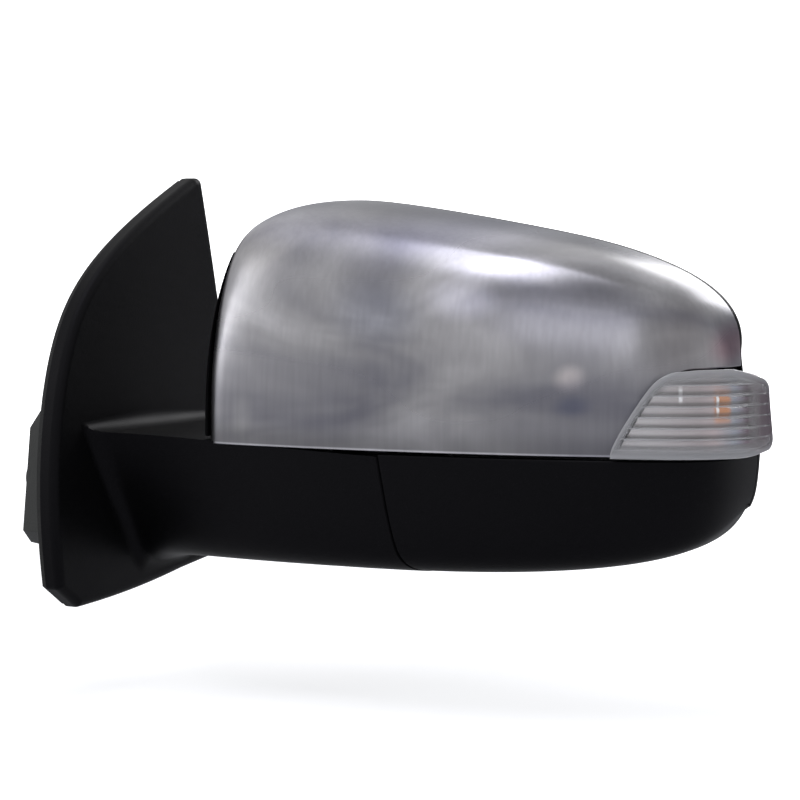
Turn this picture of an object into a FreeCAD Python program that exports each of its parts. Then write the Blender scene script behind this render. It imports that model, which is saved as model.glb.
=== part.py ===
import FreeCAD, Part
import math
import os
import re
import Sketcher
from FreeCAD import Placement, Rotation, Vector

# Left-hand power-folding door mirror.  Millimetres.  +X outboard, +Y rearward
# (the glass side), +Z up.  The origin is the centre of the three door studs on
# the door skin, which is the plane X = 0.

# ---------------------------------------------------------------- sizes

SIZES = {
    # door side: gasket, sail panel, studs
    "gasket_thick": 3.0,
    "gasket_width": 7.0,
    "gasket_inset": 1.2,
    "sail_front": 88.6,
    "sail_drop": 51.0,
    "sail_width": 168.6,
    "sail_height": 209.5,
    "sail_depth": 9.0,
    "sail_edge_radius": 4.0,
    "sail_corner_radius": 3.0,
    "tip_least": 1.0,
    "shell_wall": 2.5,
    "stud_circle": 84.0,
    "stud_radius": 3.0,
    "stud_shank_radius": 3.5,
    "stud_reach": 22.0,
    "stud_collar_radius": 5.5,
    "stud_collar_thick": 1.0,
    "stud_boss_radius": 9.0,
    "clip_radius": 4.0,
    "clip_reach": 12.0,
    "clip_forward": 4.0,
    "clip_height": 104.0,
    "boot_depth": 20.0,
    "boot_front": 73.0,
    "boot_back": 49.0,
    "boot_top": 52.0,
    "boot_bottom": 24.0,
    "boot_bore_radius": 7.0,
    "boot_bore_height": 12.0,
    "gland_collar": 3.0,
    # die-cast bracket
    "bracket_plate": 5.0,
    "bracket_seat": 0.2,
    "bracket_rear": 46.0,
    "deck_thick": 8.0,
    "deck_top": 8.0,
    "pad_radius": 28.0,
    "rib_thick": 4.0,
    "rib_drop": 16.0,
    "rib_spread": 32.0,
    "window_wide": 30.0,
    "window_tall": 22.0,
    # fold axis and joint of arm and head
    "fold_x": 112.0,
    "fold_y": -5.0,
    "fold_z": 30.9,
    "fold_lean": 2.6,
    "joint_gap": 2.0,
    "seam_radius": 63.0,
    "seam_taper": 0.12,
    "seam_gap": 0.9,
    "arm_floor": 29.0,
    "arm_front": 48.0,
    "arm_rear": 32.0,
    # fold unit, heights along the fold axis above the joint plane
    "spindle_radius": 9.0,
    "spindle_bore_radius": 6.5,
    "spindle_top": 46.0,
    "spindle_flange_radius": 22.0,
    "detent_radius": 19.0,
    "detent_top": 2.0,
    "detent_lobe": 1.2,
    "detent_count": 3,
    "case_radius": 21.0,
    "case_base": 3.6,
    "case_top": 30.0,
    "case_wall": 2.5,
    "case_floor": 3.0,
    "case_ear_foot": 20.0,
    "cradle_foot": 7.0,
    "cradle_wall": 2.4,
    "web_wide": 14.0,
    "running_fit": 0.05,
    "seat_gap": 0.2,
    "gear_radius": 14.6,
    "gear_tooth": 2.4,
    "gear_thick": 5.0,
    "gear_hub": 1.5,
    "gear_rise": 1.0,
    "gear_count": 20,
    "spring_radius": 13.0,
    "spring_wire": 1.3,
    "spring_length": 24.0,
    "spring_turns": 5,
    "washer_thick": 2.0,
    "clip_ring_thick": 1.4,
    "clip_groove": 1.0,
    "lid_height": 20.0,
    "motor_radius": 11.0,
    "motor_length": 30.0,
    "motor_out": 35.0,
    "motor_forward": 12.0,
    "motor_fit": 0.3,
    # head form
    "head_inboard": 68.0,
    "head_length": 249.0,
    "head_depth": 94.0,
    "head_top": 149.0,
    "form_base": 8.0,
    "rim_y": 45.0,
    "skirt_z": 28.7,
    "skirt_gap": 1.6,
    "cover_drop": 28.5,
    "cap_wall": 2.2,
    "cap_edge_y": 42.5,
    "cap_edge_x": 72.0,
    "cap_turn_y": 36.0,
    "cap_turn_z": 122.0,
    "cap_turn_run": 16.0,
    "cap_proud": 3.5,
    "trim_gap": 0.4,
    "ring_front_y": 29.5,
    "corner_margin": 15.0,
    "corner_lean": 45.0,
    # glass
    "glass_gap": 3.4,
    "glass_thick": 2.2,
    "heater_thick": 0.5,
    "carrier_thick": 2.0,
    "carrier_y": 35.5,
    "carrier_lip": 1.2,
    "carrier_rib_long": 120.0,
    "carrier_rib_tall": 68.0,
    "carrier_rib_deep": 2.0,
    "gimbal_x": 200.0,
    "gimbal_y": 29.0,
    "gimbal_z": 62.0,
    "gimbal_pin_radius": 1.6,
    "gimbal_pin_reach": 17.0,
    "gimbal_block": 12.0,
    "ear_inner": 13.0,
    "ear_thick": 3.0,
    "ear_width": 8.0,
    "lever_arm": 30.0,
    "plunger_radius": 4.5,
    "plunger_foot_y": 5.0,
    "plunger_ball": 3.6,
    "plunger_neck": 2.4,
    "plunger_socket": 4.6,
    "socket_wall": 1.6,
    # glass actuator
    "actuator_radius": 37.8,
    "actuator_back": -2.0,
    "actuator_split": 16.0,
    "actuator_front": 20.0,
    "actuator_wall": 2.0,
    "small_motor_radius": 6.5,
    "small_motor_length": 24.0,
    # frame
    "frame_thick": 6.0,
    "frame_wall": 2.4,
    "frame_clearance": 1.0,
    "frame_window": 16.0,
    # side lamp
    "lamp_proud": 19.0,
    "lamp_start": 0.83,
    "lamp_height": 40.4,
    "lamp_corner_radius": 9.0,
    "lamp_lens_wall": 3.0,
    "lamp_flute": 1.0,
    "lamp_flute_pitch": 6.4,
    "lamp_depth": 13.0,
    "lamp_housing_wall": 2.0,
    "lamp_gap": 0.4,
    "lamp_edge_radius": 3.0,
    "bulb_radius": 4.2,
    "bulb_length": 15.0,
    # screws
    "screw_radius": 1.6,
    "screw_head_radius": 3.4,
    "screw_head_thick": 2.2,
    "screw_length": 9.0,
    "screw_short": 6.0,
    "screw_long": 13.0,
    "screw_boss": 3.6,
    "screw_pass": 0.2,
}

doc = FreeCAD.newDocument("door_mirror")
sheet = doc.addObject("Spreadsheet::Sheet", "Sizes")
for row, (alias, value) in enumerate(SIZES.items(), start=1):
    sheet.set("A%d" % row, alias.replace("_", " "))
    sheet.set("B%d" % row, str(value))
    sheet.setAlias("B%d" % row, alias)
doc.recompute()

parts = {}
X_AXIS = Vector(1, 0, 0)
Y_AXIS = Vector(0, 1, 0)
Z_AXIS = Vector(0, 0, 1)
FAR = 600.0


def size(alias):
    """The value of one named cell of the sheet."""
    return float(sheet.get(alias))


# ---------------------------------------------------------------- helpers

def keep(label, piece):
    """Name a finished sub-part and list it for writing."""
    piece.Label = label
    parts[label] = piece
    return piece


def feature(label, shape):
    """A sub-part whose form is worked out with Part's own functions."""
    piece = doc.addObject("Part::Feature", label)
    piece.Shape = shape
    return keep(label, piece)


def bind(piece, **expressions):
    """Tie properties of an object to the sheet, such as Radius='case_radius'."""
    for name, expression in expressions.items():
        piece.setExpression(name.replace("__", "."), expression)
    return piece


def origin_plane(body, role):
    """One of the three base planes of a body."""
    return next(f for f in body.Origin.OriginFeatures if f.Role == role)


def profile_sketch(body, role, corners):
    """A closed polygon on a base plane; each corner is a pair of expressions."""
    sketch = body.newObject("Sketcher::SketchObject", body.Name + "_profile")
    sketch.AttachmentSupport = (origin_plane(body, role), "")
    sketch.MapMode = "FlatFace"
    count = len(corners)
    values = [(evaluate(a), evaluate(b)) for a, b in corners]
    for i in range(count):
        start = Vector(*values[i], 0)
        end = Vector(*values[(i + 1) % count], 0)
        sketch.addGeometry(Part.LineSegment(start, end), False)
    for i in range(count):
        sketch.addConstraint(Sketcher.Constraint("Coincident", i, 2, (i + 1) % count, 1))
    for i, pair in enumerate(corners):
        for kind, text, value in zip(("DistanceX", "DistanceY"), pair, values[i]):
            number = sketch.addConstraint(Sketcher.Constraint(kind, -1, 1, i, 1, value))
            sketch.setExpression("Constraints[%d]" % number, with_sheet(text))
    return sketch


def with_sheet(text):
    """The expression with every alias written as a cell of the sheet."""
    return re.sub("[a-z][a-z_]*", lambda word: "Sizes." * (word[0] in SIZES) + word[0], text)


def evaluate(text):
    """The number that an expression on the sheet's aliases gives."""
    return float(sheet.evalExpression(text))


def turned(name, corners):
    """A body revolved about its own Z axis from (radius, height) corners."""
    body = doc.addObject("PartDesign::Body", name)
    sketch = profile_sketch(body, "XZ_Plane", corners)
    turn = body.newObject("PartDesign::Revolution", name + "_turn")
    turn.Profile = sketch
    turn.ReferenceAxis = (sketch, ["V_Axis"])
    turn.Angle = 360.0
    return body


def on_fold_axis(piece):
    """Stand a piece on the fold axis: its own Z becomes that axis."""
    piece.Placement = Placement(Vector(), Rotation(Y_AXIS, 1))
    bind(piece, Placement__Base__x="Sizes.fold_x", Placement__Base__y="Sizes.fold_y",
         Placement__Base__z="Sizes.fold_z", Placement__Rotation__Angle="Sizes.fold_lean")
    return piece


def facing_rear(piece, x, y, z):
    """Lay a turned piece along +Y with its foot at the point given by expressions."""
    piece.Placement = Placement(Vector(), Rotation(X_AXIS, -90))
    bind(piece, Placement__Base__x=with_sheet(x), Placement__Base__y=with_sheet(y),
         Placement__Base__z=with_sheet(z))
    return piece


def block(x0, x1, y0, y1, z0, z1):
    """A box between two corners."""
    return Part.makeBox(x1 - x0, y1 - y0, z1 - z0, Vector(x0, y0, z0))


def rod(radius, start, end):
    """A cylinder between two points."""
    run = end - start
    return Part.makeCylinder(radius, run.Length, start, run)


def fold_frame():
    """Placement that takes the fold unit's own frame into the mirror's frame."""
    place = Vector(size("fold_x"), size("fold_y"), size("fold_z"))
    return Placement(place, Rotation(Y_AXIS, size("fold_lean")))


def folded(shape):
    """A shape drawn about Z, moved onto the fold axis."""
    moved = shape.copy()
    moved.Placement = fold_frame().multiply(moved.Placement)
    return moved


def below_joint(height):
    """Everything under the joint plane raised by a height along the fold axis."""
    return folded(block(-FAR, FAR, -FAR, FAR, height - FAR, height))


def seam_cone(grow):
    """The cone about the fold axis where the arm ends, widened by grow."""
    low, high = -90.0, 60.0
    taper = size("seam_taper")
    radius = size("seam_radius") + grow
    cone = Part.makeCone(radius - taper * low, radius - taper * high, high - low, Vector(0, 0, low))
    return folded(cone)


# ---------------------------------------------------------------- moulded forms

def clamped_knots(count):
    """Knots and multiplicities of a clamped uniform cubic with that many poles."""
    spans = count - 3
    knots = [i / spans for i in range(spans + 1)]
    return knots, [4] + [1] * (spans - 1) + [4]


def cubic_patch(net):
    """The cubic B-spline surface of a net of poles, a list of columns."""
    surface = Part.BSplineSurface()
    knots_u, mults_u = clamped_knots(len(net))
    knots_v, mults_v = clamped_knots(len(net[0]))
    surface.buildFromPolesMultsKnots(net, mults_u, mults_v, knots_u, knots_v, False, False, 3, 3)
    return surface


def flat_face(curves):
    """The plane face inside a ring of curves and straight lines."""
    return Part.Face(Part.Wire(Part.__sortEdges__(curves)))


def solid_of(faces):
    """The solid inside faces that meet edge to edge."""
    shell = Part.makeShell(faces)
    shell.sewShape()
    solid = Part.makeSolid(shell)
    if solid.Volume < 0:
        solid.reverse()
    return solid


# Stations of the head from its inboard side to its tip: place along the head,
# depth forward of the rim and height of the crown, as shares of the head's own.
HEAD_STATIONS = (
    (0.000, 0.979, 0.800),
    (0.032, 1.000, 1.007),
    (0.257, 1.000, 0.975),
    (0.550, 0.894, 0.894),
    (0.811, 0.723, 0.809),
    (0.980, 0.489, 0.638),
)
# One station from the rim over the crown and down the front: share of the
# depth and share of the drop.  The third to fifth rows draw the soft crease.
HEAD_ROWS = (
    (0.00, 0.000), (0.30, 0.000), (0.62, 0.040), (0.80, 0.100),
    (0.95, 0.360), (1.00, 0.620), (1.00, 0.850), (0.99, 1.000),
)
# The upright ends: share of the drop at each row, and how soon the inboard end
# turns forward of the rim.
END_ROWS = (0.0, 0.04, 0.12, 0.22, 0.45, 0.66, 0.86, 1.0)
END_TURN = (0.0, 0.60, 0.90, 1.0, 1.0, 1.0, 1.0, 1.0)


def head_form(inset, proud=0.0, inboard_proud=0.0):
    """The head's outer form, made smaller all round by inset and closed at the rim
    and at its base plane; proud pushes out the tip, as on the lamp, and
    inboard_proud the inboard side, as on the rear housing."""
    base = size("form_base") - inset
    rim = size("rim_y") + inset
    length = size("head_length")
    depth = size("head_depth")
    crown = size("head_top") - size("form_base")
    inboard = size("head_inboard") + inset
    tip = size("head_inboard") + length + proud - inset

    def along(share):
        return inboard + (tip - inboard) * share

    def bulge(share, fall):
        return inboard_proud * max(0.0, 1 - share / 0.2) * min(1.0, 2.2 * fall)

    def end(top_share, foot_share, height, forward):
        top = size("form_base") + crown * height - inset
        poles = []
        for fall, turn in zip(END_ROWS, END_TURN):
            share = top_share + (foot_share - top_share) * fall
            y = rim - (forward + inset) * turn * bool(forward)
            poles.append(Vector(along(share) - bulge(share, fall), y, top - (top - base) * fall))
        return poles

    def station(share, deep, height):
        top = size("form_base") + crown * height - inset
        reach = depth * deep + proud * 0.35 * share ** 3
        return [Vector(along(share) - bulge(share, fall), rim - forward * reach, top - fall * (top - base))
                for forward, fall in HEAD_ROWS]

    net = [end(0.048, 0.032, 0.738, 0.0), end(0.024, 0.008, 0.738, 50.0)]
    net += [station(*row) for row in HEAD_STATIONS]
    net += [end(0.964, 1.000, 0.482, 0.0)]
    surface = cubic_patch(net)
    foot_line = Part.makeLine(net[0][-1], net[-1][-1])
    rear = flat_face([surface.vIso(0).toShape(), surface.uIso(0).toShape(),
                      surface.uIso(1).toShape(), foot_line])
    foot = flat_face([surface.vIso(1).toShape(), foot_line])
    return solid_of([surface.toShape(), rear, foot])


# Stations of the arm and lower cover, which share one form: X, front edge at the
# top, front edge at the floor and floor height.  The first four belong to the
# arm and flare out where it grows from the sail.
def lower_stations():
    floor = size("arm_floor")
    front = size("arm_front")
    rim = size("rim_y")
    depth = size("head_depth")
    inboard = size("head_inboard")
    length = size("head_length")
    drop = size("cover_drop")
    return (
        (2.0, -front - 30.0, -front + 32.0, -floor - 15.0),
        (14.0, -front - 16.0, -front + 22.0, -floor - 5.0),
        (34.0, -front - 4.0, -front + 12.0, -floor),
        (inboard + 2.0, -front, -front + 6.0, -floor),
        (inboard + 0.229 * length, rim - depth, rim - 0.968 * depth, -drop),
        (inboard + 0.530 * length, rim - 0.894 * depth, rim - 0.862 * depth, -drop),
        (inboard + 0.795 * length, rim - 0.745 * depth, rim - 0.691 * depth, -drop + 4.5),
        (inboard + 0.980 * length, rim - 0.564 * depth, rim - 0.436 * depth, -drop + 16.5),
    )


# The lower form's tip from its rear top edge under the floor to its front top
# edge: step past the tip, share of the depth forward of the rim, share of the
# drop, and whether the inset raises it.
LOWER_END = (
    (0.0, 0.000, 0.000, 0), (-1.0, 0.000, 0.193, 0), (-2.0, 0.000, 0.359, 0), (-3.0, 0.021, 0.469, 1),
    (-4.0, 0.053, 0.538, 1), (-2.0, 0.160, 0.524, 1), (1.0, 0.266, 0.386, 0), (2.0, 0.372, 0.000, 0),
)


def lower_form(inset, rear):
    """The form under the joint plane, smaller all round by inset; rear is the list
    of the stations' rear edges.  It is closed over its top and at both ends."""
    top = size("fold_z") + 13.1
    net = []
    last = lower_stations()[-1]
    for (x, front_top, front_foot, floor), back in zip(lower_stations(), rear):
        x = x - inset if x == last[0] else x
        floor = floor + inset
        front_top = front_top + inset
        front_foot = front_foot + inset
        back = back - inset
        drop = top - floor
        middle = (size("rim_y") + front_foot) / 2
        net.append([
            Vector(x, back, top), Vector(x, back, top - 0.5 * drop),
            Vector(x, back - 4, floor + 0.02 * drop), Vector(x, min(middle, back - 8), floor),
            Vector(x, front_foot + 5, floor), Vector(x, front_foot, floor + 0.22 * drop),
            Vector(x, 0.6 * front_top + 0.4 * front_foot, floor + 0.6 * drop),
            Vector(x, front_top, top),
        ])
    tip = size("head_inboard") + size("head_length") - inset
    for past in (0.0, 1.0):
        column = []
        for step, forward, fall, raised in LOWER_END:
            y = size("rim_y") - forward * size("head_depth") * (1 - past) + 20.0 * past
            z = top - fall * (top + size("cover_drop")) + inset * raised
            column.append(Vector(tip + step, y, z))
        net.append(column)
    surface = cubic_patch(net)
    root_line = Part.makeLine(net[0][0], net[0][-1])
    tip_line = Part.makeLine(net[-1][0], net[-1][-1])
    roof = flat_face([surface.vIso(0).toShape(), surface.vIso(1).toShape(), root_line, tip_line])
    root = flat_face([surface.uIso(0).toShape(), root_line])
    tip_face = flat_face([surface.uIso(1).toShape(), tip_line])
    return solid_of([surface.toShape(), roof, root, tip_face])


def arm_form(inset):
    """The arm's form, whose rear wall stays forward of the rim."""
    rear = size("arm_rear")
    return lower_form(inset, (rear + 12, rear + 8, rear + 2, rear, rear - 3, rear - 24, rear - 24, rear - 24))


def cover_form(inset):
    """The lower cover's form, which runs out past the rim at the rear."""
    past = size("rim_y") + 20.0
    return lower_form(inset, (past,) * 8)


# Outline of the sail as shares of its width and height from its lower front:
# the curved front edge, the straight rear edge and the foot.
SAIL_FRONT = ((0.021, 0.052), (0.000, 0.196), (0.015, 0.444), (0.128, 0.691), (0.377, 0.862), (0.715, 0.998))
SAIL_REAR = ((0.751, 1.000), (0.893, 0.530), (1.000, 0.081))
SAIL_FOOT = ((0.640, 0.044), (0.389, 0.016), (0.116, 0.000))


def drawn_in(points, inset):
    """Corners of a closed ring in a YZ plane moved inward, square to both neighbours."""
    moved = []
    for i, here in enumerate(points):
        before = (here - points[i - 1]).normalize()
        after = (points[(i + 1) % len(points)] - here).normalize()
        square = Vector(0, before.z + after.z, -before.y - after.y).normalize()
        spread = math.cos(before.getAngle(after) / 2)
        moved.append(here + square * (inset / spread))
    return moved


def sail_wire(x, inset=0.0):
    """The sail's outline at a distance from the door, drawn in by inset."""
    shares = SAIL_FRONT + SAIL_REAR + SAIL_FOOT
    ring = [Vector(x, -size("sail_front") + y * size("sail_width"),
                   -size("sail_drop") + z * size("sail_height")) for y, z in shares]
    ring = drawn_in(ring, inset)
    front = ring[:len(SAIL_FRONT)]
    rear = ring[len(SAIL_FRONT):-len(SAIL_FOOT)]
    foot = ring[-len(SAIL_FOOT):]

    def through(points):
        curve = Part.BSplineCurve()
        curve.interpolate(points)
        return curve.toShape()

    lines = [(rear[-1], foot[0]), (foot[-1], front[0])]
    if rear[0].y - front[-1].y > size("tip_least"):
        lines.append((front[-1], rear[0]))
    else:
        front[-1] = rear[0] = (front[-1] + rear[0]) / 2
    edges = [through(front), through(rear), through(foot)]
    edges += [Part.makeLine(*line) for line in lines]
    return Part.Wire(Part.__sortEdges__(edges))


def sail_slab(inset, x0, x1):
    """The sail's outline, drawn in by inset, from one distance to another."""
    return Part.Face(sail_wire(x0, inset)).extrude(Vector(x1 - x0, 0, 0))


# ---------------------------------------------------------------- arm and sail

def along_x(piece, x, y, z):
    """Lay a turned piece along +X with its foot at the point given by expressions."""
    piece.Placement = Placement(Vector(), Rotation(Y_AXIS, 90))
    bind(piece, Placement__Base__x=with_sheet(x), Placement__Base__y=with_sheet(y),
         Placement__Base__z=with_sheet(z))
    return piece


def stud_places():
    """Y and Z of the three studs: one above, two below, evenly round the origin."""
    ring = size("stud_circle") / 2
    return [(ring * math.cos(math.radians(a)), ring * math.sin(math.radians(a))) for a in (90, 210, 330)]


def base_screw_places():
    """Y and Z of the screws that hold the moulding to the bracket."""
    rear = size("bracket_rear") - 8
    return [(-size("boot_back") + 5, size("boot_top") - 4), (rear - 10, size("boot_bottom") + 6),
            (rear, 3), (-size("boot_bottom") / 2, -size("boot_bottom"))]


def base_housing():
    """Sail and arm in one moulding, open to the door."""
    wall = size("shell_wall")
    back = size("gasket_thick")
    face = back + size("sail_depth")
    sail = sail_slab(0, back, face)
    corners = [e for e in sail.Edges if e.BoundBox.YLength < 0.01 and e.BoundBox.ZLength < 0.01]
    sail = sail.makeFillet(size("sail_corner_radius"), corners)
    rim = [e for e in sail.Edges if e.BoundBox.XMin > face - 0.01]
    sail = sail.makeFillet(size("sail_edge_radius"), rim)
    half_gap = size("joint_gap") / 2
    near_sail = block(0, size("fold_x"), -FAR, FAR, -FAR, FAR)
    arm = arm_form(0).common(seam_cone(0).fuse(near_sail)).common(below_joint(-half_gap))
    body = sail.fuse(arm)
    tray = sail_slab(wall, back - 1, face - wall)
    hollow = arm_form(wall).common(seam_cone(-wall).fuse(near_sail)).common(below_joint(-half_gap - wall))
    body = body.cut(tray).cut(hollow).cut(block(-FAR, back, -FAR, FAR, -FAR, FAR))
    for y, z in base_screw_places():
        start = size("gasket_thick") + size("bracket_seat") + size("bracket_plate")
        boss = rod(size("screw_boss"), Vector(start, y, z), Vector(face - wall + 0.5, y, z))
        body = body.fuse(boss)
        body = body.cut(rod(size("screw_radius"), Vector(0, y, z), Vector(face - wall, y, z)))
    opening = Part.makeCylinder(size("spindle_flange_radius") + size("trim_gap"), 40, Vector(0, 0, -20))
    body = body.cut(folded(opening))
    return feature("base_housing", body.removeSplitter())


def door_gasket():
    """Foam strip round the back of the sail, squeezed against the door."""
    inset = size("gasket_inset")
    thick = size("gasket_thick")
    ring = sail_slab(inset, 0, thick).cut(sail_slab(inset + size("gasket_width"), -1, thick + 1))
    return feature("door_gasket", ring)


def base_bracket():
    """Die-cast bracket: door plate, stud bosses, ribbed deck and pivot pad."""
    back = size("gasket_thick") + size("bracket_seat")
    front = back + size("bracket_plate")
    rear = size("bracket_rear")
    nose = -size("boot_front") - 1
    top = size("boot_top") + 4
    foot = -size("boot_bottom") - 8
    corners = [(nose, foot + 8), (nose, top - 6), (nose + 10, top), (14, top), (rear, 22),
               (rear, foot + 2), (nose + 14, foot)]
    wire = Part.makePolygon([Vector(back, y, z) for y, z in corners + corners[:1]])
    plate = Part.Face(wire).extrude(Vector(size("bracket_plate"), 0, 0))
    plate = plate.makeFillet(4.0, [e for e in plate.Edges if len(e.Vertexes) == 2
                                   and abs(e.Vertexes[0].X - e.Vertexes[1].X) > 1])
    reach = size("fold_x") - front
    pad = size("pad_radius")
    deck_top = -size("deck_top")
    deck_foot = deck_top - size("deck_thick")
    outline = [Vector(-reach - 3, -34, deck_foot), Vector(-pad, -pad + 4, deck_foot),
               Vector(0, -pad + 2, deck_foot), Vector(0, pad - 2, deck_foot),
               Vector(-pad, pad - 3, deck_foot), Vector(-reach - 3, 30, deck_foot)]
    deck = Part.Face(Part.makePolygon(outline + outline[:1])).extrude(Vector(0, 0, size("deck_thick")))
    deck = deck.fuse(Part.makeCylinder(pad, size("deck_thick"), Vector(0, 0, deck_foot)))
    for side in (-0.5, 0.5):
        y = side * (size("rib_spread") + size("rib_thick")) - size("rib_thick") / 2
        rib = Part.makePolygon([Vector(-reach - 3, y, deck_foot), Vector(-pad + 6, y, deck_foot),
                                Vector(-reach - 3, y, deck_foot - size("rib_drop")),
                                Vector(-reach - 3, y, deck_foot)])
        deck = deck.fuse(Part.Face(rib).extrude(Vector(0, size("rib_thick"), 0)))
    deck = folded(deck).common(block(back + 1, FAR, -FAR, FAR, -FAR, FAR))
    body = plate.fuse(deck)
    for y, z in stud_places():
        body = body.fuse(rod(size("stud_boss_radius"), Vector(0, y, z), Vector(front, y, z)))
    for y, z in stud_places():
        body = body.cut(rod(size("stud_shank_radius"), Vector(-1, y, z), Vector(front + 1, y, z)))
    for y, z in base_screw_places():
        hole = size("screw_radius") + size("screw_pass")
        body = body.cut(rod(hole, Vector(-1, y, z), Vector(front + 1, y, z)))
    cable_y = -(size("boot_front") + size("boot_back")) / 2
    cable_z = size("boot_bore_height")
    cable = size("boot_bore_radius") + 0.5
    body = body.cut(rod(cable, Vector(-1, cable_y, cable_z), Vector(front + 1, cable_y, cable_z)))
    bore = size("spindle_bore_radius")
    body = body.cut(folded(Part.makeCylinder(bore, 60, Vector(0, 0, -50))))
    wide = size("window_wide") / 2
    tall = size("window_tall") / 2
    body = body.cut(block(-1, front + 1, -wide - 2, wide - 2, -tall - 2, tall - 2))
    for x, y in spindle_screw_places():
        hole = Part.makeCylinder(size("screw_radius") + size("screw_pass"), 30, Vector(x, y, -30))
        body = body.cut(folded(hole))
    return feature("base_bracket", body.removeSplitter())


def round_axis(ring, turns):
    """Places at a radius, given as an expression, at each of some turns in degrees."""
    return [("( %s ) * cos(%d)" % (ring, turn), "( %s ) * sin(%d)" % (ring, turn)) for turn in turns]


def spindle_screw_spots():
    """Places of the spindle flange's screws, as expressions round the fold axis."""
    return round_axis("( spindle_flange_radius + spindle_radius ) / 2 + 1", (0, 120, 240))


def spindle_screw_places():
    """Places of the spindle flange's screws round the fold axis."""
    return [(evaluate(x), evaluate(y)) for x, y in spindle_screw_spots()]


def screw_of(length):
    """A pan-head screw, head upward, foot of the head at 0; length names its cell."""
    tip = "0 - " + length
    return turned(length, [
        ("0", tip), ("screw_radius", tip), ("screw_radius", "0"), ("screw_head_radius", "0"),
        ("screw_head_radius", "screw_head_thick * 0.5"), ("screw_head_radius * 0.6", "screw_head_thick"),
        ("0", "screw_head_thick")])


def group(label, template, places):
    """One node that holds a like solid at each place."""
    copies = []
    for place in places:
        copy = template.Shape.copy()
        copy.Placement = place.multiply(copy.Placement)
        copies.append(copy)
    return feature(label, Part.makeCompound(copies))


def toward(point, axis):
    """Placement that stands a piece's own Z along an axis at a point."""
    return Placement(point, Rotation(Z_AXIS, axis))


def door_studs():
    """Three M6 studs pressed into the bracket."""
    seat = "0 - gasket_thick - bracket_seat - bracket_plate"
    foot = seat + " - stud_collar_thick"
    stud = turned("stud", [
        ("0", foot), ("stud_collar_radius", foot), ("stud_collar_radius", seat),
        ("stud_shank_radius", seat), ("stud_shank_radius", "0"), ("stud_radius", "0"),
        ("stud_radius", "stud_reach - 1"), ("stud_radius - 0.8", "stud_reach"), ("0", "stud_reach")])
    doc.recompute()
    return group("door_studs", stud, [toward(Vector(0, y, z), -X_AXIS) for y, z in stud_places()])


def locating_clip():
    """Push-in clip near the tip of the sail."""
    clip = turned("locating_clip", [
        ("0", "0 - clip_reach"), ("clip_radius * 0.45", "0 - clip_reach"),
        ("clip_radius", "0 - clip_reach * 0.55"), ("clip_radius * 0.7", "0 - clip_reach * 0.3"),
        ("clip_radius * 0.7", "0"),
        ("clip_radius + 3.5", "0"), ("clip_radius + 3.5", "1.5"), ("clip_radius * 0.8", "1.5"),
        ("clip_radius * 0.8", "gasket_thick + sail_depth - shell_wall - seat_gap"),
        ("0", "gasket_thick + sail_depth - shell_wall - seat_gap")])
    along_x(clip, "0", "clip_forward", "clip_height")
    return keep("locating_clip", clip)


def harness_boot():
    """Soft block that seals the wiring's way into the door, with an empty gland."""
    deep = size("boot_depth")
    y0, y1 = -size("boot_front"), -size("boot_back")
    z0, z1 = -size("boot_bottom"), size("boot_top")
    seat = size("gasket_thick")

    def section(x, inset):
        ring = [(y0 + inset, z0 + 9), (y0 + inset, z1 - 5 - inset), (y0 + 4 + inset, z1 - inset),
                (y1 - inset, z1 - inset), (y1 - inset, z0 + inset), (y0 + 7 + inset, z0 + inset)]
        return Part.makePolygon([Vector(x, y, z) for y, z in ring + ring[:1]])

    body = Part.makeLoft([section(seat, 0), section(-deep, 2.5)], True, True)
    y_mid = (y0 + y1) / 2
    height = size("boot_bore_height")
    collar = rod(size("boot_bore_radius") + 2, Vector(-deep - size("gland_collar"), y_mid, height),
                 Vector(-deep + 1, y_mid, height))
    bore = rod(size("boot_bore_radius"), Vector(-deep - 10, y_mid, height), Vector(seat + 1, y_mid, height))
    return feature("harness_boot", body.fuse(collar).cut(bore))


# ---------------------------------------------------------------- fold unit

def fold_spindle():
    """Hollow steel spindle that carries the head; the wiring runs through it."""
    groove = washer_foot() + " + washer_thick"
    spindle = turned("fold_spindle", [
        ("spindle_bore_radius", "0 - deck_top"), ("spindle_flange_radius", "0 - deck_top"),
        ("spindle_flange_radius", "0 - joint_gap / 2"), ("spindle_radius", "0 - joint_gap / 2"),
        ("spindle_radius", groove), ("spindle_radius - clip_groove", groove),
        ("spindle_radius - clip_groove", groove + " + clip_ring_thick"),
        ("spindle_radius", groove + " + clip_ring_thick"),
        ("spindle_radius", "spindle_top"), ("spindle_bore_radius", "spindle_top")])
    depth = "screw_long - deck_thick + 0.5"
    holes = [upright("flange_hole_%d" % i, "screw_radius", depth, x, y, "0 - deck_top")
             for i, (x, y) in enumerate(spindle_screw_spots())]
    return keep("fold_spindle", on_fold_axis(carved("spindle_drilled", spindle, holes)))


def polar(body, feature_made, count):
    """Repeat the last feature of a body round its own Z axis."""
    pattern = body.newObject("PartDesign::PolarPattern", body.Name + "_pattern")
    pattern.Originals = [feature_made]
    axis = next(f for f in body.Origin.OriginFeatures if f.Role == "Z_Axis")
    pattern.Axis = (axis, [""])
    pattern.Angle = 360.0
    pattern.setExpression("Occurrences", with_sheet(count))
    body.Tip = pattern
    return body


def raised(body, corners, length):
    """Pad a polygon up from a body's XY plane and return the pad."""
    sketch = profile_sketch(body, "XY_Plane", corners)
    pad = body.newObject("PartDesign::Pad", body.Name + "_raised")
    pad.Profile = sketch
    pad.setExpression("Length", with_sheet(length))
    return pad


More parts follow.
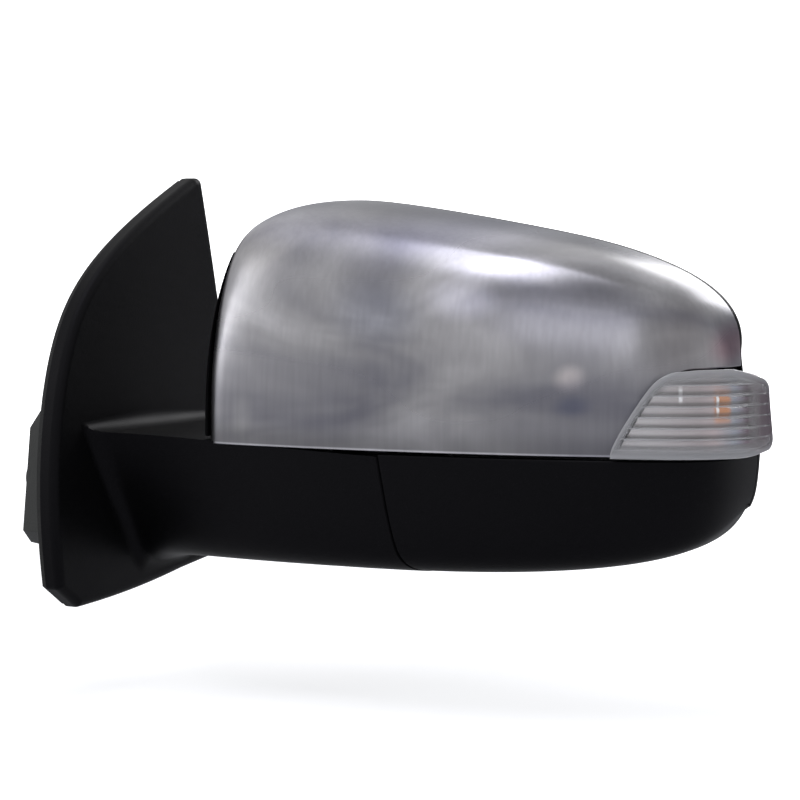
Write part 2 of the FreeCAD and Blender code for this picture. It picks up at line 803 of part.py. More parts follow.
def detent_plate():
    """Ring with three lobes that hold the head in its driving position."""
    plate = turned("detent_plate", [
        ("spindle_radius + running_fit", "0 - joint_gap / 2"), ("detent_radius", "0 - joint_gap / 2"),
        ("detent_radius", "detent_top"), ("spindle_radius + running_fit", "detent_top")])
    lobe = raised(plate, [("detent_radius - 6", "-3"), ("detent_radius - 1", "-3"),
                          ("detent_radius - 1", "3"), ("detent_radius - 6", "3")],
                  "detent_top + detent_lobe")
    polar(plate, lobe, "detent_count")
    return keep("detent_plate", on_fold_axis(plate))


def fold_gear():
    """Fixed gear on the spindle that the fold motor's worm walks round."""
    root = "gear_radius - gear_tooth / 2"
    tip = "gear_radius + gear_tooth / 2"
    gear = turned("fold_gear", [
        ("spindle_radius + running_fit", "0"), (root, "0"), (root, "gear_thick"),
        ("spindle_radius + 3", "gear_thick"), ("spindle_radius + 3", "gear_thick + gear_hub"),
        ("spindle_radius + running_fit", "gear_thick + gear_hub")])
    tooth = raised(gear, [(root + " - 1", "0 - gear_tooth * 0.62"), (tip, "0 - gear_tooth * 0.3"),
                          (tip, "gear_tooth * 0.3"), (root + " - 1", "gear_tooth * 0.62")], "gear_thick")
    polar(gear, tooth, "gear_count")
    on_fold_axis(gear)
    lift(gear, gear_foot())
    return keep("fold_gear", gear)


def lift(piece, height):
    """Raise a piece that stands on the fold axis along that axis."""
    lean = "Sizes.fold_lean * 1 deg"
    up = with_sheet(height)
    bind(piece, Placement__Base__x="Sizes.fold_x + (%s) * sin(%s)" % (up, lean),
         Placement__Base__z="Sizes.fold_z + (%s) * cos(%s)" % (up, lean))


def gear_foot():
    """Height of the fixed gear above the joint plane, as an expression."""
    return "case_base + case_floor + gear_rise"


def fold_spring():
    """Compression spring that loads the detent."""
    wire = size("spring_wire")
    foot = evaluate(gear_foot() + " + gear_thick + gear_hub + seat_gap + spring_wire")
    helix = Part.makeHelix(size("spring_length") / size("spring_turns"), size("spring_length") - 2 * wire,
                           size("spring_radius"))
    section = Part.Wire(Part.makeCircle(wire, Vector(size("spring_radius"), 0, 0), Y_AXIS))
    spring = Part.Wire(helix).makePipeShell([section], True, True)
    spring.translate(Vector(0, 0, foot))
    return feature("fold_spring", folded(spring))


def washer_foot():
    """Height of the spring's upper washer above the joint plane, as an expression."""
    return gear_foot() + " + gear_thick + gear_hub + spring_length + seat_gap * 2"


def spring_washer():
    """Washer that the spring pushes up against its retaining clip."""
    washer = turned("spring_washer", [
        ("spindle_radius + running_fit", "0"), ("spring_radius + spring_wire + 1", "0"),
        ("spring_radius + spring_wire + 1", "washer_thick"),
        ("spindle_radius + running_fit", "washer_thick")])
    on_fold_axis(washer)
    lift(washer, washer_foot())
    return keep("spring_washer", washer)


def spindle_clip():
    """Ring snapped into the spindle's groove over the washer."""
    ring = turned("spindle_clip", [
        ("spindle_radius - clip_groove + running_fit", "0"), ("spindle_radius + 2.5", "0"),
        ("spindle_radius + 2.5", "clip_ring_thick - seat_gap"),
        ("spindle_radius - clip_groove + running_fit", "clip_ring_thick - seat_gap")])
    on_fold_axis(ring)
    lift(ring, washer_foot() + " + washer_thick + seat_gap / 2")
    return keep("spindle_clip", ring)


def upright(label, radius, height, x="0", y="0", foot="0"):
    """A Part cylinder drawn about Z with sizes bound to the sheet."""
    cylinder = doc.addObject("Part::Cylinder", label)
    bind(cylinder, Radius=with_sheet(radius), Height=with_sheet(height),
         Placement__Base__x=with_sheet(x), Placement__Base__y=with_sheet(y),
         Placement__Base__z=with_sheet(foot))
    return cylinder


def brick(label, x, y, foot, length, width, height):
    """A Part box drawn in its own frame with sizes bound to the sheet."""
    box = doc.addObject("Part::Box", label)
    bind(box, Length=with_sheet(length), Width=with_sheet(width), Height=with_sheet(height),
         Placement__Base__x=with_sheet(x), Placement__Base__y=with_sheet(y),
         Placement__Base__z=with_sheet(foot))
    return box


def joined(label, shapes):
    """Several solids fused into one piece."""
    fuse = doc.addObject("Part::MultiFuse", label)
    fuse.Shapes = shapes
    return fuse


def carved(label, base, tools):
    """One solid less several others."""
    tool = tools[0] if len(tools) == 1 else joined(label + "_tools", tools)
    cut = doc.addObject("Part::Cut", label)
    cut.Base = base
    cut.Tool = tool
    return cut


def fold_drive_case():
    """Cup round the gear with the motor's bay beside it; it turns on the spindle."""
    cup = upright("case_cup", "case_radius", "case_top - case_base", foot="case_base")
    bay = upright("case_bay", "motor_radius + motor_fit + case_wall", "case_top - case_base",
                  "motor_out", "0 - motor_forward", "case_base")
    web = brick("case_web", "case_radius - 6", "0 - motor_forward - web_wide / 2 + seat_gap", "case_base",
                "motor_out - case_radius - 4", "web_wide", "case_top - case_base")
    ears = [upright("case_ear_%d" % i, "screw_head_radius + 1", "4", x, y, "case_ear_foot")
            for i, (x, y) in enumerate(case_ear_places())]
    body = joined("case_blank", [cup, bay, web] + ears)
    room = upright("case_room", "case_radius - case_wall", "case_top", foot="case_base + case_floor")
    bore = upright("case_bore", "spindle_radius + running_fit", "case_top * 2", foot="0 - case_top")
    pocket = upright("case_pocket", "motor_radius + motor_fit", "case_top",
                     "motor_out", "0 - motor_forward", "case_base + case_floor")
    way = brick("case_way", "case_radius - 8", "0 - motor_forward - 2", "case_base + case_floor",
                "motor_out - case_radius", "6", "case_top")
    holes = [upright("case_hole_%d" % i, "screw_radius", "30", x, y, "case_ear_foot - 10")
             for i, (x, y) in enumerate(case_ear_places())]
    case = carved("fold_drive_case", body, [room, bore, pocket, way] + holes)
    return keep("fold_drive_case", on_fold_axis(case))


def case_ear_places():
    """Places of the fold drive's three ears, as expressions round the fold axis."""
    return round_axis("case_radius + screw_head_radius + seat_gap", (30, 150, 270))


def fold_drive_lid():
    """Dome over the spring, open at its top for the wiring."""
    lid = turned("fold_drive_lid", [
        ("case_radius - case_wall + 0.5", "0"), ("case_radius", "0"),
        ("case_radius", "lid_height - 3"), ("case_radius - 3", "lid_height"),
        ("spindle_radius", "lid_height"), ("spindle_radius", "lid_height - case_wall"),
        ("case_radius - case_wall + 0.5", "lid_height - case_wall")])
    on_fold_axis(lid)
    lift(lid, "case_top + seat_gap")
    return keep("fold_drive_lid", lid)


def fold_motor():
    """Small motor that stands in the case's bay."""
    motor = turned("fold_motor", [
        ("0", "0"), ("motor_radius - 1", "0"), ("motor_radius", "1"), ("motor_radius", "motor_length - 2"),
        ("motor_radius - 2", "motor_length"), ("4", "motor_length"), ("4", "motor_length + 2"),
        ("0", "motor_length + 2")])
    lean = "Sizes.fold_lean * 1 deg"
    up = with_sheet("case_base + case_floor + seat_gap")
    on_fold_axis(motor)
    out = "Sizes.fold_x + Sizes.motor_out * cos(%s) + (%s) * sin(%s)" % (lean, up, lean)
    bind(motor, Placement__Base__x=out,
         Placement__Base__y="Sizes.fold_y - Sizes.motor_forward",
         Placement__Base__z="Sizes.fold_z - Sizes.motor_out * sin(%s) + (%s) * cos(%s)" % (lean, up, lean))
    return keep("fold_motor", motor)


# ---------------------------------------------------------------- head shells

def skirt_cut(gap):
    """Everything under the head: below the joint plane and below the skirt line."""
    low = size("skirt_z") + gap
    return below_joint(size("joint_gap") / 2).fuse(block(-FAR, FAR, -FAR, FAR, -FAR, low))


# The side lamp's upper edge from its sharp inboard end: share of the head's
# length, and height over the seam as a share of the lamp's own.
LAMP_ARCH = (
    (0.005, 0.129), (0.020, 0.314), (0.037, 0.498), (0.055, 0.683), (0.071, 0.832),
    (0.084, 0.911), (0.102, 0.970), (0.145, 0.998),
)


def lamp_outline(grow, x_tip):
    """The side lamp's outline seen from the front, widened by grow, as corners (X, Z)."""
    foot = size("skirt_z") + size("skirt_gap")
    tip = size("head_inboard") + size("lamp_start") * size("head_length")
    arch = [(tip + along * size("head_length") - 0.8 * grow, foot + up * size("lamp_height") + 0.6 * grow)
            for along, up in LAMP_ARCH]
    top = foot + size("lamp_height")
    return [(tip - 1.2 * grow, foot - grow)] + arch + [(x_tip, top + grow), (x_tip, foot - grow)]


def lamp_prism(grow):
    """The space that the side lamp takes out of the head, forward of the rear ring."""
    far = size("head_inboard") + size("head_length") + 60
    corners = lamp_outline(grow, far)
    front = -size("head_depth")
    rear = size("ring_front_y") - size("lamp_gap") + grow
    arch = Part.BSplineCurve()
    arch.interpolate([Vector(x, front, z) for x, z in corners[:-1]])
    top, last = corners[-2], corners[-1]
    edges = [arch.toShape(), Part.makeLine(Vector(top[0], front, top[1]), Vector(last[0], front, last[1])),
             Part.makeLine(Vector(last[0], front, last[1]), Vector(corners[0][0], front, corners[0][1]))]
    return Part.Face(Part.Wire(edges)).extrude(Vector(0, rear - front, 0))


def inboard_zone(gap):
    """The space inboard of the cap's edge, where the black housing shows."""
    edge = size("cap_edge_x") - gap
    turn = -size("cap_turn_y")
    top = size("cap_turn_z") - gap
    corners = [Vector(-FAR, -FAR, -FAR), Vector(edge, -FAR, -FAR), Vector(edge, turn, -FAR),
               Vector(edge + size("cap_turn_run"), size("rim_y"), -FAR),
               Vector(edge + size("cap_turn_run"), FAR, -FAR), Vector(-FAR, FAR, -FAR)]
    return Part.Face(Part.makePolygon(corners + corners[:1])).extrude(Vector(0, 0, FAR + top))


def cap_shell():
    """Chromed skull cap that clips over the front of the head."""
    shell = head_form(0).cut(head_form(size("cap_wall")))
    shell = shell.cut(block(-FAR, FAR, size("cap_edge_y"), FAR, -FAR, FAR))
    shell = shell.cut(inboard_zone(0)).cut(skirt_cut(size("skirt_gap"))).cut(lamp_prism(size("lamp_gap")))
    return feature("cap_shell", largest(shell))


def largest(shape):
    """The biggest solid of a cut, without slivers."""
    return max(shape.Solids, key=lambda solid: solid.Volume)


def corner_cut(grow):
    """Everything beyond the slanting plane that trims the head's lower inboard rear
    corner; it runs along the slant of the glass and leans away forward."""
    corners = glass_corners()
    low, high = corners[6], corners[7]
    run = Vector(low[0] - high[0], 0, low[1] - high[1]).normalize()
    out = Vector(run.z, 0, -run.x)
    lean = math.radians(size("corner_lean"))
    normal = out * math.cos(lean) + Y_AXIS * math.sin(lean)
    middle = Vector((low[0] + high[0]) / 2, size("rim_y"), (low[1] + high[1]) / 2)
    place = middle + out * size("corner_margin") - normal * grow
    slab = Part.makeBox(FAR, FAR, FAR, Vector(-FAR / 2, -FAR / 2, 0))
    slab.Placement = Placement(place, Rotation(Z_AXIS, normal))
    return slab


def cover_room(inset, cone_gap):
    """The lower cover's form drawn in by inset, outside the arm's seam and corner."""
    room = cover_form(inset).cut(seam_cone(cone_gap)).cut(corner_cut(inset))
    return room.common(block(size("fold_x"), FAR, -FAR, size("rim_y") + 5, -FAR, FAR))


def lower_cover():
    """Grained cover under the head, with a wall along the arm's seam."""
    wall = size("shell_wall")
    gap = size("seam_gap")
    shell = cover_room(0, gap).cut(cover_room(wall, gap + wall))
    shell = shell.cut(block(-FAR, FAR, size("cap_edge_y"), FAR, -FAR, FAR))
    shell = shell.cut(block(-FAR, FAR, -FAR, FAR, size("skirt_z"), FAR))
    shell = shell.cut(glass_slab(size("glass_gap"), size("actuator_front"), FAR))
    return feature("lower_cover", largest(shell))


def glass_corners():
    """Corners of the glass, seen from behind, with the radius of each: (X, Z, radius)."""
    side = size("head_inboard") + 17
    tip = size("head_inboard") + size("head_length") - 15
    crown = size("head_top")
    foot = -size("cover_drop") + 13
    waist = size("fold_z") + 9
    return ((side, crown - 18, 22.0), (side + 112, crown - 25, 60.0), (tip - 28, crown - 39, 30.0),
            (tip - 4, crown - 62, 30.0), (tip, 28.0, 60.0), (tip - 8, foot + 6, 18.0),
            (side + 118, foot, 14.0), (side + 78, waist, 20.0), (side, waist, 14.0))


def rounded(corners, y, grow):
    """Ring of straight runs and tangent arcs through corners, widened by grow."""
    points = [Vector(x, y, z) for x, z, _ in corners]
    grown = []
    for i, here in enumerate(points):
        before = (here - points[i - 1]).normalize()
        after = (points[(i + 1) % len(points)] - here).normalize()
        square = Vector(-before.z - after.z, 0, before.x + after.x).normalize()
        grown.append(here + square * (grow / math.cos(before.getAngle(after) / 2)))
    edges = []
    ends = []
    for i, here in enumerate(grown):
        back = (grown[i - 1] - here).normalize()
        on = (grown[(i + 1) % len(grown)] - here).normalize()
        half = back.getAngle(on) / 2
        radius = max(corners[i][2] + grow * (1 if turns_out(grown, i) else -1), 1.0)
        reach = radius / math.tan(half)
        middle = here + (back + on).normalize() * (radius / math.sin(half) - radius)
        start, stop = here + back * reach, here + on * reach
        edges.append(Part.Arc(start, middle, stop).toShape())
        ends.append((start, stop))
    for i, (start, stop) in enumerate(ends):
        edges.append(Part.makeLine(ends[i - 1][1], start))
    return Part.Wire(Part.__sortEdges__(edges))


def turns_out(points, i):
    """Whether a corner of a clockwise ring in the XZ plane points outward."""
    before = points[i] - points[i - 1]
    after = points[(i + 1) % len(points)] - points[i]
    return before.z * after.x - before.x * after.z > 0


def glass_slab(grow, y0, y1):
    """The glass's outline, widened by grow, from one depth to another."""
    return Part.Face(rounded(glass_corners(), y0, grow)).extrude(Vector(0, y1 - y0, 0))


def rear_housing():
    """Black housing behind the cap: ring round the glass, inboard wall and floor."""
    wall = size("shell_wall")
    proud = size("cap_proud")
    rim = size("rim_y")
    front = size("ring_front_y")
    edge = size("cap_edge_y") + size("trim_gap")
    gap = size("seam_gap")
    skirt = below_joint(size("joint_gap") / 2)
    tuck = size("cap_wall") + size("trim_gap")
    below = block(-FAR, FAR, -FAR, FAR, -FAR, size("skirt_z") + size("skirt_gap"))

    def whole(inset):
        outboard = size("fold_x")
        upper = head_form(inset).cut(skirt)
        upper = upper.cut(block(outboard, FAR, -FAR, FAR, -FAR, size("form_base")))
        lower = cover_room(inset, gap + inset).common(below)
        beside = below.common(block(outboard, FAR, -FAR, FAR, -FAR, FAR))
        return upper.cut(beside.cut(seam_cone(gap + inset))).fuse(lower)

    neck = whole(tuck).common(block(-FAR, FAR, front, rim, -FAR, FAR))
    flange = whole(0).common(block(-FAR, FAR, edge, rim, -FAR, FAR))
    inboard = head_form(0, 0, proud).cut(skirt)
    zone = inboard_zone(size("trim_gap"))
    side = inboard.cut(head_form(wall, 0, proud)).common(zone)
    side = side.common(block(-FAR, FAR, -FAR, front + 1, -FAR, FAR))
    side_ring = inboard.common(zone).common(block(-FAR, FAR, front, rim, -FAR, FAR))
    hollow = whole(tuck + wall).common(block(-FAR, FAR, front - 1, rim - wall, -FAR, FAR))
    hollow = hollow.cut(glass_slab(size("glass_gap") + wall - 0.5, front - 2, rim))
    hollow = hollow.cut(below_joint(size("joint_gap") / 2 + wall))
    floor = inboard.common(below_joint(size("joint_gap") / 2 + wall)).common(head_form(tuck).fuse(zone))
    floor = floor.common(seam_cone(gap + wall)).common(block(-FAR, FAR, -FAR, front + 1, -FAR, FAR))
    housing = neck.fuse([flange, side, side_ring, floor])
    housing = housing.cut(hollow).cut(glass_slab(size("glass_gap"), 0, rim + 5))
    housing = housing.cut(folded(Part.makeCylinder(size("detent_radius") + 1.5, 40, Vector(0, 0, -20))))
    return feature("rear_housing", largest(housing.removeSplitter()))


def head_frame():
    """Glass-filled frame inside the head: back plate, wall round it and cradle."""
    thick = size("frame_thick")
    back = size("actuator_back") - size("seat_gap")
    wall = size("frame_wall")
    clear = size("frame_clearance")
    rear = size("ring_front_y") - size("seat_gap")
    blank = glass_slab(size("glass_gap") + wall, back - thick, rear)
    blank = blank.cut(glass_slab(size("glass_gap"), back, rear + 1))
    over_seam = head_form(size("cap_wall") + clear).cut(block(-FAR, FAR, -FAR, FAR, -FAR, size("skirt_z")))
    keep_in = over_seam.fuse(
        cover_room(size("shell_wall") + clear, size("seam_gap") + size("shell_wall") + clear))
    blank = blank.common(keep_in)
    low = size("joint_gap") / 2 + size("shell_wall") + size("seat_gap")
    blank = blank.cut(below_joint(low).common(seam_cone(10)))
    blank = blank.cut(lamp_prism(size("lamp_gap") + clear))
    room = folded(drive_room())
    blank = largest(blank.cut(room))
    cradle, holes = drive_cradle()
    blank = blank.fuse(folded(cradle).cut(room)).cut([folded(hole) for hole in holes])
    middle = Vector(size("gimbal_x"), 0, size("gimbal_z"))
    window = rod(size("frame_window"), middle + Y_AXIS * (back - thick - 1), middle + Y_AXIS * (back + 1))
    return feature("head_frame", largest(blank.cut(window).removeSplitter()))


def drive_room():
    """The space of the fold drive, about Z: its cup, its motor bay and the web between."""
    grow = size("seat_gap")
    cup = Part.makeCylinder(size("case_radius") + grow, FAR)
    bay_radius = size("motor_radius") + size("motor_fit") + size("case_wall") + grow
    bay = Part.makeCylinder(bay_radius, FAR, Vector(size("motor_out"), -size("motor_forward"), 0))
    web_foot = -size("motor_forward") - size("web_wide") / 2
    web = block(0, size("motor_out"), web_foot, web_foot + size("web_wide") + 2 * grow, 0, FAR)
    return cup.multiFuse([bay, web])


def drive_cradle():
    """Ring and bosses round the fold drive's cup, about Z, and the holes of its screws."""
    foot = size("cradle_foot")
    seat = size("case_ear_foot")
    cradle = Part.makeCylinder(size("case_radius") + size("cradle_wall"), seat - foot, Vector(0, 0, foot))
    holes = []
    for x, y in case_ear_places():
        place = Vector(evaluate(x), evaluate(y), 0)
        cradle = cradle.fuse(rod(size("screw_boss"), place + Z_AXIS * foot, place + Z_AXIS * seat))
        holes.append(rod(size("screw_radius"), place + Z_AXIS * (seat - 10), place + Z_AXIS * (seat + 1)))
    return cradle, holes


# ---------------------------------------------------------------- glass and its drive

def actuator_case():
    """Round cup of the glass actuator with sockets for its two plungers."""
    case = turned("actuator_case", [
        ("0", "0"), ("actuator_radius", "0"), ("actuator_radius", "actuator_split - actuator_back"),
        ("actuator_radius - actuator_wall", "actuator_split - actuator_back"),
        ("actuator_radius - actuator_wall", "actuator_wall"), ("0", "actuator_wall")])
    bosses = [upright("actuator_boss_%d" % i, "screw_boss", "actuator_split - actuator_back - seat_gap", x, y)
              for i, (x, y) in enumerate(actuator_screw_spots())]
    holes = [upright("actuator_hole_%d" % i, "screw_radius", "screw_length", x, y,
                     "actuator_front - actuator_back - screw_length")
             for i, (x, y) in enumerate(actuator_screw_spots())]
    drilled = carved("actuator_drilled", joined("actuator_blank", [case] + bosses), holes)
    facing_rear(drilled, "gimbal_x", "actuator_back", "gimbal_z")
    return keep("actuator_case", drilled)


def actuator_screw_spots():
    """Places of the actuator's screws, as expressions round its middle."""
    return round_axis("actuator_radius - 6", (45, 135, 225, 315))


def actuator_screw_places():
    """Middles of the actuator's screw heads on its cover."""
    middle = Vector(size("gimbal_x"), size("actuator_front"), size("gimbal_z"))
    return [middle + Vector(evaluate(x), 0, evaluate(y)) for x, y in actuator_screw_spots()]


def actuator_cover():
    """Cover with the ears of the gimbal and the bores of the plungers."""
    front = size("actuator_front")
    split = size("actuator_split") + size("seat_gap") / 2
    centre = Vector(size("gimbal_x"), 0, size("gimbal_z"))
    radius = size("actuator_radius")
    body = rod(radius, centre + Y_AXIS * split, centre + Y_AXIS * front)
    body = body.makeFillet(1.5, [e for e in body.Edges if e.BoundBox.YMin > front - 0.01])
    pin_y = size("gimbal_y")
    width = size("ear_width")
    for side in (-1, 1):
        near = size("gimbal_z") + side * size("ear_inner")
        far = near + side * size("ear_thick")
        ear = block(size("gimbal_x") - width / 2, size("gimbal_x") + width / 2, front - 0.5, pin_y,
                    min(near, far), max(near, far))
        top = rod(width / 2, Vector(size("gimbal_x"), pin_y, near), Vector(size("gimbal_x"), pin_y, far))
        crest = pin_y + size("gimbal_pin_radius") + 1.4
        body = body.fuse(ear).fuse(top.cut(block(-FAR, FAR, crest, FAR, -FAR, FAR)))
    pin = rod(size("gimbal_pin_radius") + size("running_fit"), centre + Vector(0, pin_y, -25),
              centre + Vector(0, pin_y, 25))
    body = body.cut(pin)
    for place in plunger_places():
        bore = rod(size("plunger_radius") + size("running_fit"), place + Y_AXIS * (split - 5),
                   place + Y_AXIS * (front + 5))
        body = body.cut(bore)
    for place in actuator_screw_places():
        body = body.cut(rod(size("screw_radius") + size("screw_pass"), place - Y_AXIS * 10, place + Y_AXIS))
    return feature("actuator_cover", body.removeSplitter())


def plunger_places():
    """Where the tilt and the pan plunger stand, at Y = 0."""
    arm = size("lever_arm")
    centre = Vector(size("gimbal_x"), 0, size("gimbal_z"))
    return centre + Vector(0, 0, -arm), centre + Vector(-arm, 0, 0)


def plungers():
    """Two rods that push the glass: the lower tilts it, the inboard one pans it."""
    neck_foot = "( actuator_front + 4.5 - plunger_foot_y )"
    ball = "( gimbal_y - plunger_foot_y )"
    half = "plunger_ball * 0.707"
    corners = [("0", "0"), ("plunger_radius", "0"), ("plunger_radius", neck_foot + " - 1"),
               ("plunger_neck", neck_foot), ("plunger_neck", ball + " - plunger_ball * 0.745"),
               (half, ball + " - " + half), ("plunger_ball", ball), (half, ball + " + " + half),
               ("0", ball + " + plunger_ball")]
    tilt = turned("tilt_plunger", corners)
    pan = turned("pan_plunger", corners)
    keep("tilt_plunger", facing_rear(tilt, "gimbal_x", "plunger_foot_y", "gimbal_z - lever_arm"))
    keep("pan_plunger", facing_rear(pan, "gimbal_x - lever_arm", "plunger_foot_y", "gimbal_z"))


def small_motors():
    """The two little motors that drive the plungers."""
    corners = [("0", "0"), ("small_motor_radius", "0"), ("small_motor_radius", "small_motor_length - 2"),
               ("small_motor_radius - 2", "small_motor_length"), ("1", "small_motor_length"),
               ("1", "small_motor_length + 4"), ("0", "small_motor_length + 4")]
    tilt = turned("tilt_motor", corners)
    pan = turned("pan_motor", corners)
    foot = "actuator_back + actuator_wall + small_motor_radius + seat_gap"
    tilt.Placement = Placement(Vector(), Rotation(Y_AXIS, -90))
    bind(tilt, Placement__Base__x=with_sheet("gimbal_x + lever_arm * 0.9"),
         Placement__Base__y=with_sheet(foot),
         Placement__Base__z=with_sheet("gimbal_z - small_motor_radius - 2"))
    bind(pan, Placement__Base__x=with_sheet("gimbal_x + small_motor_radius - 2"),
         Placement__Base__y=with_sheet(foot),
         Placement__Base__z=with_sheet("gimbal_z + small_motor_radius - 2"))
    keep("tilt_motor", tilt)
    keep("pan_motor", pan)


def gimbal_cross():
    """Cross with four pins: two turn in the cover's ears, two carry the glass."""
    reach = "gimbal_pin_reach"
    cube = brick("cross_block", "gimbal_block / -2", "gimbal_block / -3", "gimbal_block / -2",
                 "gimbal_block", "gimbal_block * 2 / 3", "gimbal_block")
    upright_pin = upright("cross_upright", "gimbal_pin_radius", reach + " * 2", foot="0 - " + reach)
    level_pin = doc.addObject("Part::Cylinder", "cross_level")
    level_pin.Placement = Placement(Vector(), Rotation(Y_AXIS, 90))
    bind(level_pin, Radius=with_sheet("gimbal_pin_radius"), Height=with_sheet(reach + " * 2"),
         Placement__Base__x=with_sheet("0 - " + reach))
    cross = joined("gimbal_cross", [cube, upright_pin, level_pin])
    bind(cross, Placement__Base__x="Sizes.gimbal_x", Placement__Base__y="Sizes.gimbal_y",
         Placement__Base__z="Sizes.gimbal_z")
    return keep("gimbal_cross", cross)


def glass_carrier():
    """Plate that holds the glass: rim, gimbal ears and plunger sockets."""
    back = size("carrier_y")
    face = back + size("carrier_thick")
    lip = size("carrier_lip")
    rim_top = face + size("heater_thick") + size("glass_thick") + 0.4
    body = glass_slab(lip, back, rim_top).cut(glass_slab(size("trim_gap") / 4, face, rim_top + 1))
    width = size("ear_width")
    centre = Vector(size("gimbal_x"), 0, size("gimbal_z"))
    pin_y = size("gimbal_y")
    for side in (-1, 1):
        near = size("gimbal_x") + side * size("ear_inner")
        far = near + side * size("ear_thick")
        body = body.fuse(block(min(near, far), max(near, far), pin_y, back + 0.5,
                               size("gimbal_z") - width / 2, size("gimbal_z") + width / 2))
        foot = rod(width / 2, Vector(near, pin_y, size("gimbal_z")), Vector(far, pin_y, size("gimbal_z")))
        body = body.fuse(foot.cut(block(-FAR, FAR, -FAR, pin_y - size("gimbal_pin_radius") - 1.4, -FAR, FAR)))
    body = body.cut(rod(size("gimbal_pin_radius") + size("running_fit"), centre + Vector(-25, pin_y, 0),
                        centre + Vector(25, pin_y, 0)))
    for place in plunger_places():
        inner = size("plunger_socket")
        mouth = pin_y - 2.5
        cup = rod(inner + size("socket_wall"), place + Y_AXIS * mouth, place + Y_AXIS * (back + 0.5))
        body = body.fuse(cup).cut(rod(inner, place + Y_AXIS * (mouth - 1), place + Y_AXIS * (back - 0.6)))
    long, tall = size("carrier_rib_long") / 2, size("carrier_rib_tall") / 2
    thick = size("socket_wall") / 2
    foot, top = back - size("carrier_rib_deep"), back + 0.5
    ribs = [block(centre.x - long, centre.x + long, foot, top, z - thick, z + thick)
            for z in (centre.z - tall, centre.z + tall)]
    ribs += [block(x - thick, x + thick, foot, top, centre.z - tall, centre.z + tall)
             for x in (centre.x - long, centre.x + long)]
    inside = glass_slab(-thick, foot, top)
    body = body.fuse([rib.common(inside) for rib in ribs])
    return feature("glass_carrier", body.removeSplitter())


def heater_pad():
    """Thin heating foil behind the glass."""
    foot = size("carrier_y") + size("carrier_thick")
    return feature("heater_pad", glass_slab(-3.0, foot + 0.05, foot + size("heater_thick") - 0.05))


def mirror_glass():
    """The glass, slightly smaller than the carrier's rim."""
    foot = size("carrier_y") + size("carrier_thick") + size("heater_thick")
    glass = glass_slab(-size("seat_gap") / 2, foot, foot + size("glass_thick"))
    return feature("mirror_glass", glass)


# ---------------------------------------------------------------- side lamp

def lamp_body(inset, grow):
    """The side lamp's form drawn in by inset, inside its outline widened by grow; the
    corners of its tip are rounded over and under."""
    foot = size("skirt_z") + size("skirt_gap") - grow
    top = foot + size("lamp_height") + 2 * grow
    reach = size("head_length") + size("lamp_proud")
    high = size("head_inboard") + 0.971 * reach - inset
    low = size("head_inboard") + 0.992 * reach - inset
    front = -size("head_depth")
    corners = [Vector(x, front, z) for x, z in ((0, foot), (low, foot), (high, top), (0, top))]
    slab = Part.Face(Part.makePolygon(corners + corners[:1])).extrude(Vector(0, FAR, 0))
    radius = max(size("lamp_corner_radius") - inset, 1.0)
    at_tip = [e for e in slab.Edges if e.BoundBox.YLength > 1 and e.BoundBox.XMin > high - 1]
    slab = slab.makeFillet(radius, at_tip)
    return head_form(inset, size("lamp_proud")).common(lamp_prism(grow)).common(slab)


def lamp_lens():
    """Clear lens whose back is stepped into level flutes."""
    wall = size("lamp_lens_wall")
    flute = size("lamp_flute")
    pitch = size("lamp_flute_pitch")
    lens = lamp_body(0, 0).cut(lamp_body(wall, -wall * 0.8)).cut(lamp_body(size("lamp_depth"), 10))
    lens = rounded_tip(lens, size("lamp_edge_radius"))
    foot = size("skirt_z") + size("skirt_gap") + wall
    bars = [block(-FAR, FAR, -FAR, FAR, foot + pitch * i, foot + pitch * (i + 0.5)) for i in range(1, 6)]
    grooves = lamp_body(wall - flute, -wall).common(bars[0].multiFuse(bars[1:]))
    return feature("lamp_lens", largest(lens.cut(grooves)))


def rounded_tip(lens, radius):
    """Round the lens's level front edges and its upright rear edge at the tip."""
    front = min(e.BoundBox.YMin for e in lens.Edges)
    level = [e for e in lens.Edges if e.BoundBox.YMin < front + 1 and e.BoundBox.XLength > 20]
    lens = lens.makeFillet(radius, level)
    uprights = [e for e in lens.Edges if e.BoundBox.ZLength > 20 and e.BoundBox.YLength < 0.1]
    tip = max(uprights, key=lambda e: e.BoundBox.XMax)
    return lens.makeFillet(radius * 0.6, [tip])


def lamp_housing():
    """Tray behind the lens, open to it, that holds the bulb."""
    wall = size("lamp_lens_wall")
    skin = size("lamp_housing_wall")
    deep = size("lamp_depth")
    edge = -wall * 0.8 - size("seat_gap")
    tray = lamp_body(wall + size("seat_gap"), edge).cut(lamp_body(deep + skin, skin))
    tray = tray.cut(lamp_body(0, edge - skin).cut(lamp_body(deep, 10)))
    x, y, z = bulb_place()
    hole = rod(size("bulb_radius") + size("seat_gap"), Vector(x - 60, y, z), Vector(x, y, z))
    return feature("lamp_housing", largest(tray.cut(hole)))


def bulb_place():
    """Tip of the side lamp's bulb."""
    return (size("head_inboard") + size("head_length") - 9, size("ring_front_y") - 32,
            size("skirt_z") + size("skirt_gap") + 19)


def lamp_bulb():
    """Amber wedge bulb."""
    x, y, z = bulb_place()
    radius = size("bulb_radius")
    foot = Vector(x - size("bulb_length"), y, z)
    crown = Vector(x - radius, y, z)
    glass = rod(radius, foot, crown).fuse(Part.makeSphere(radius, crown))
    return feature("lamp_bulb", glass.removeSplitter())


# ---------------------------------------------------------------- screws

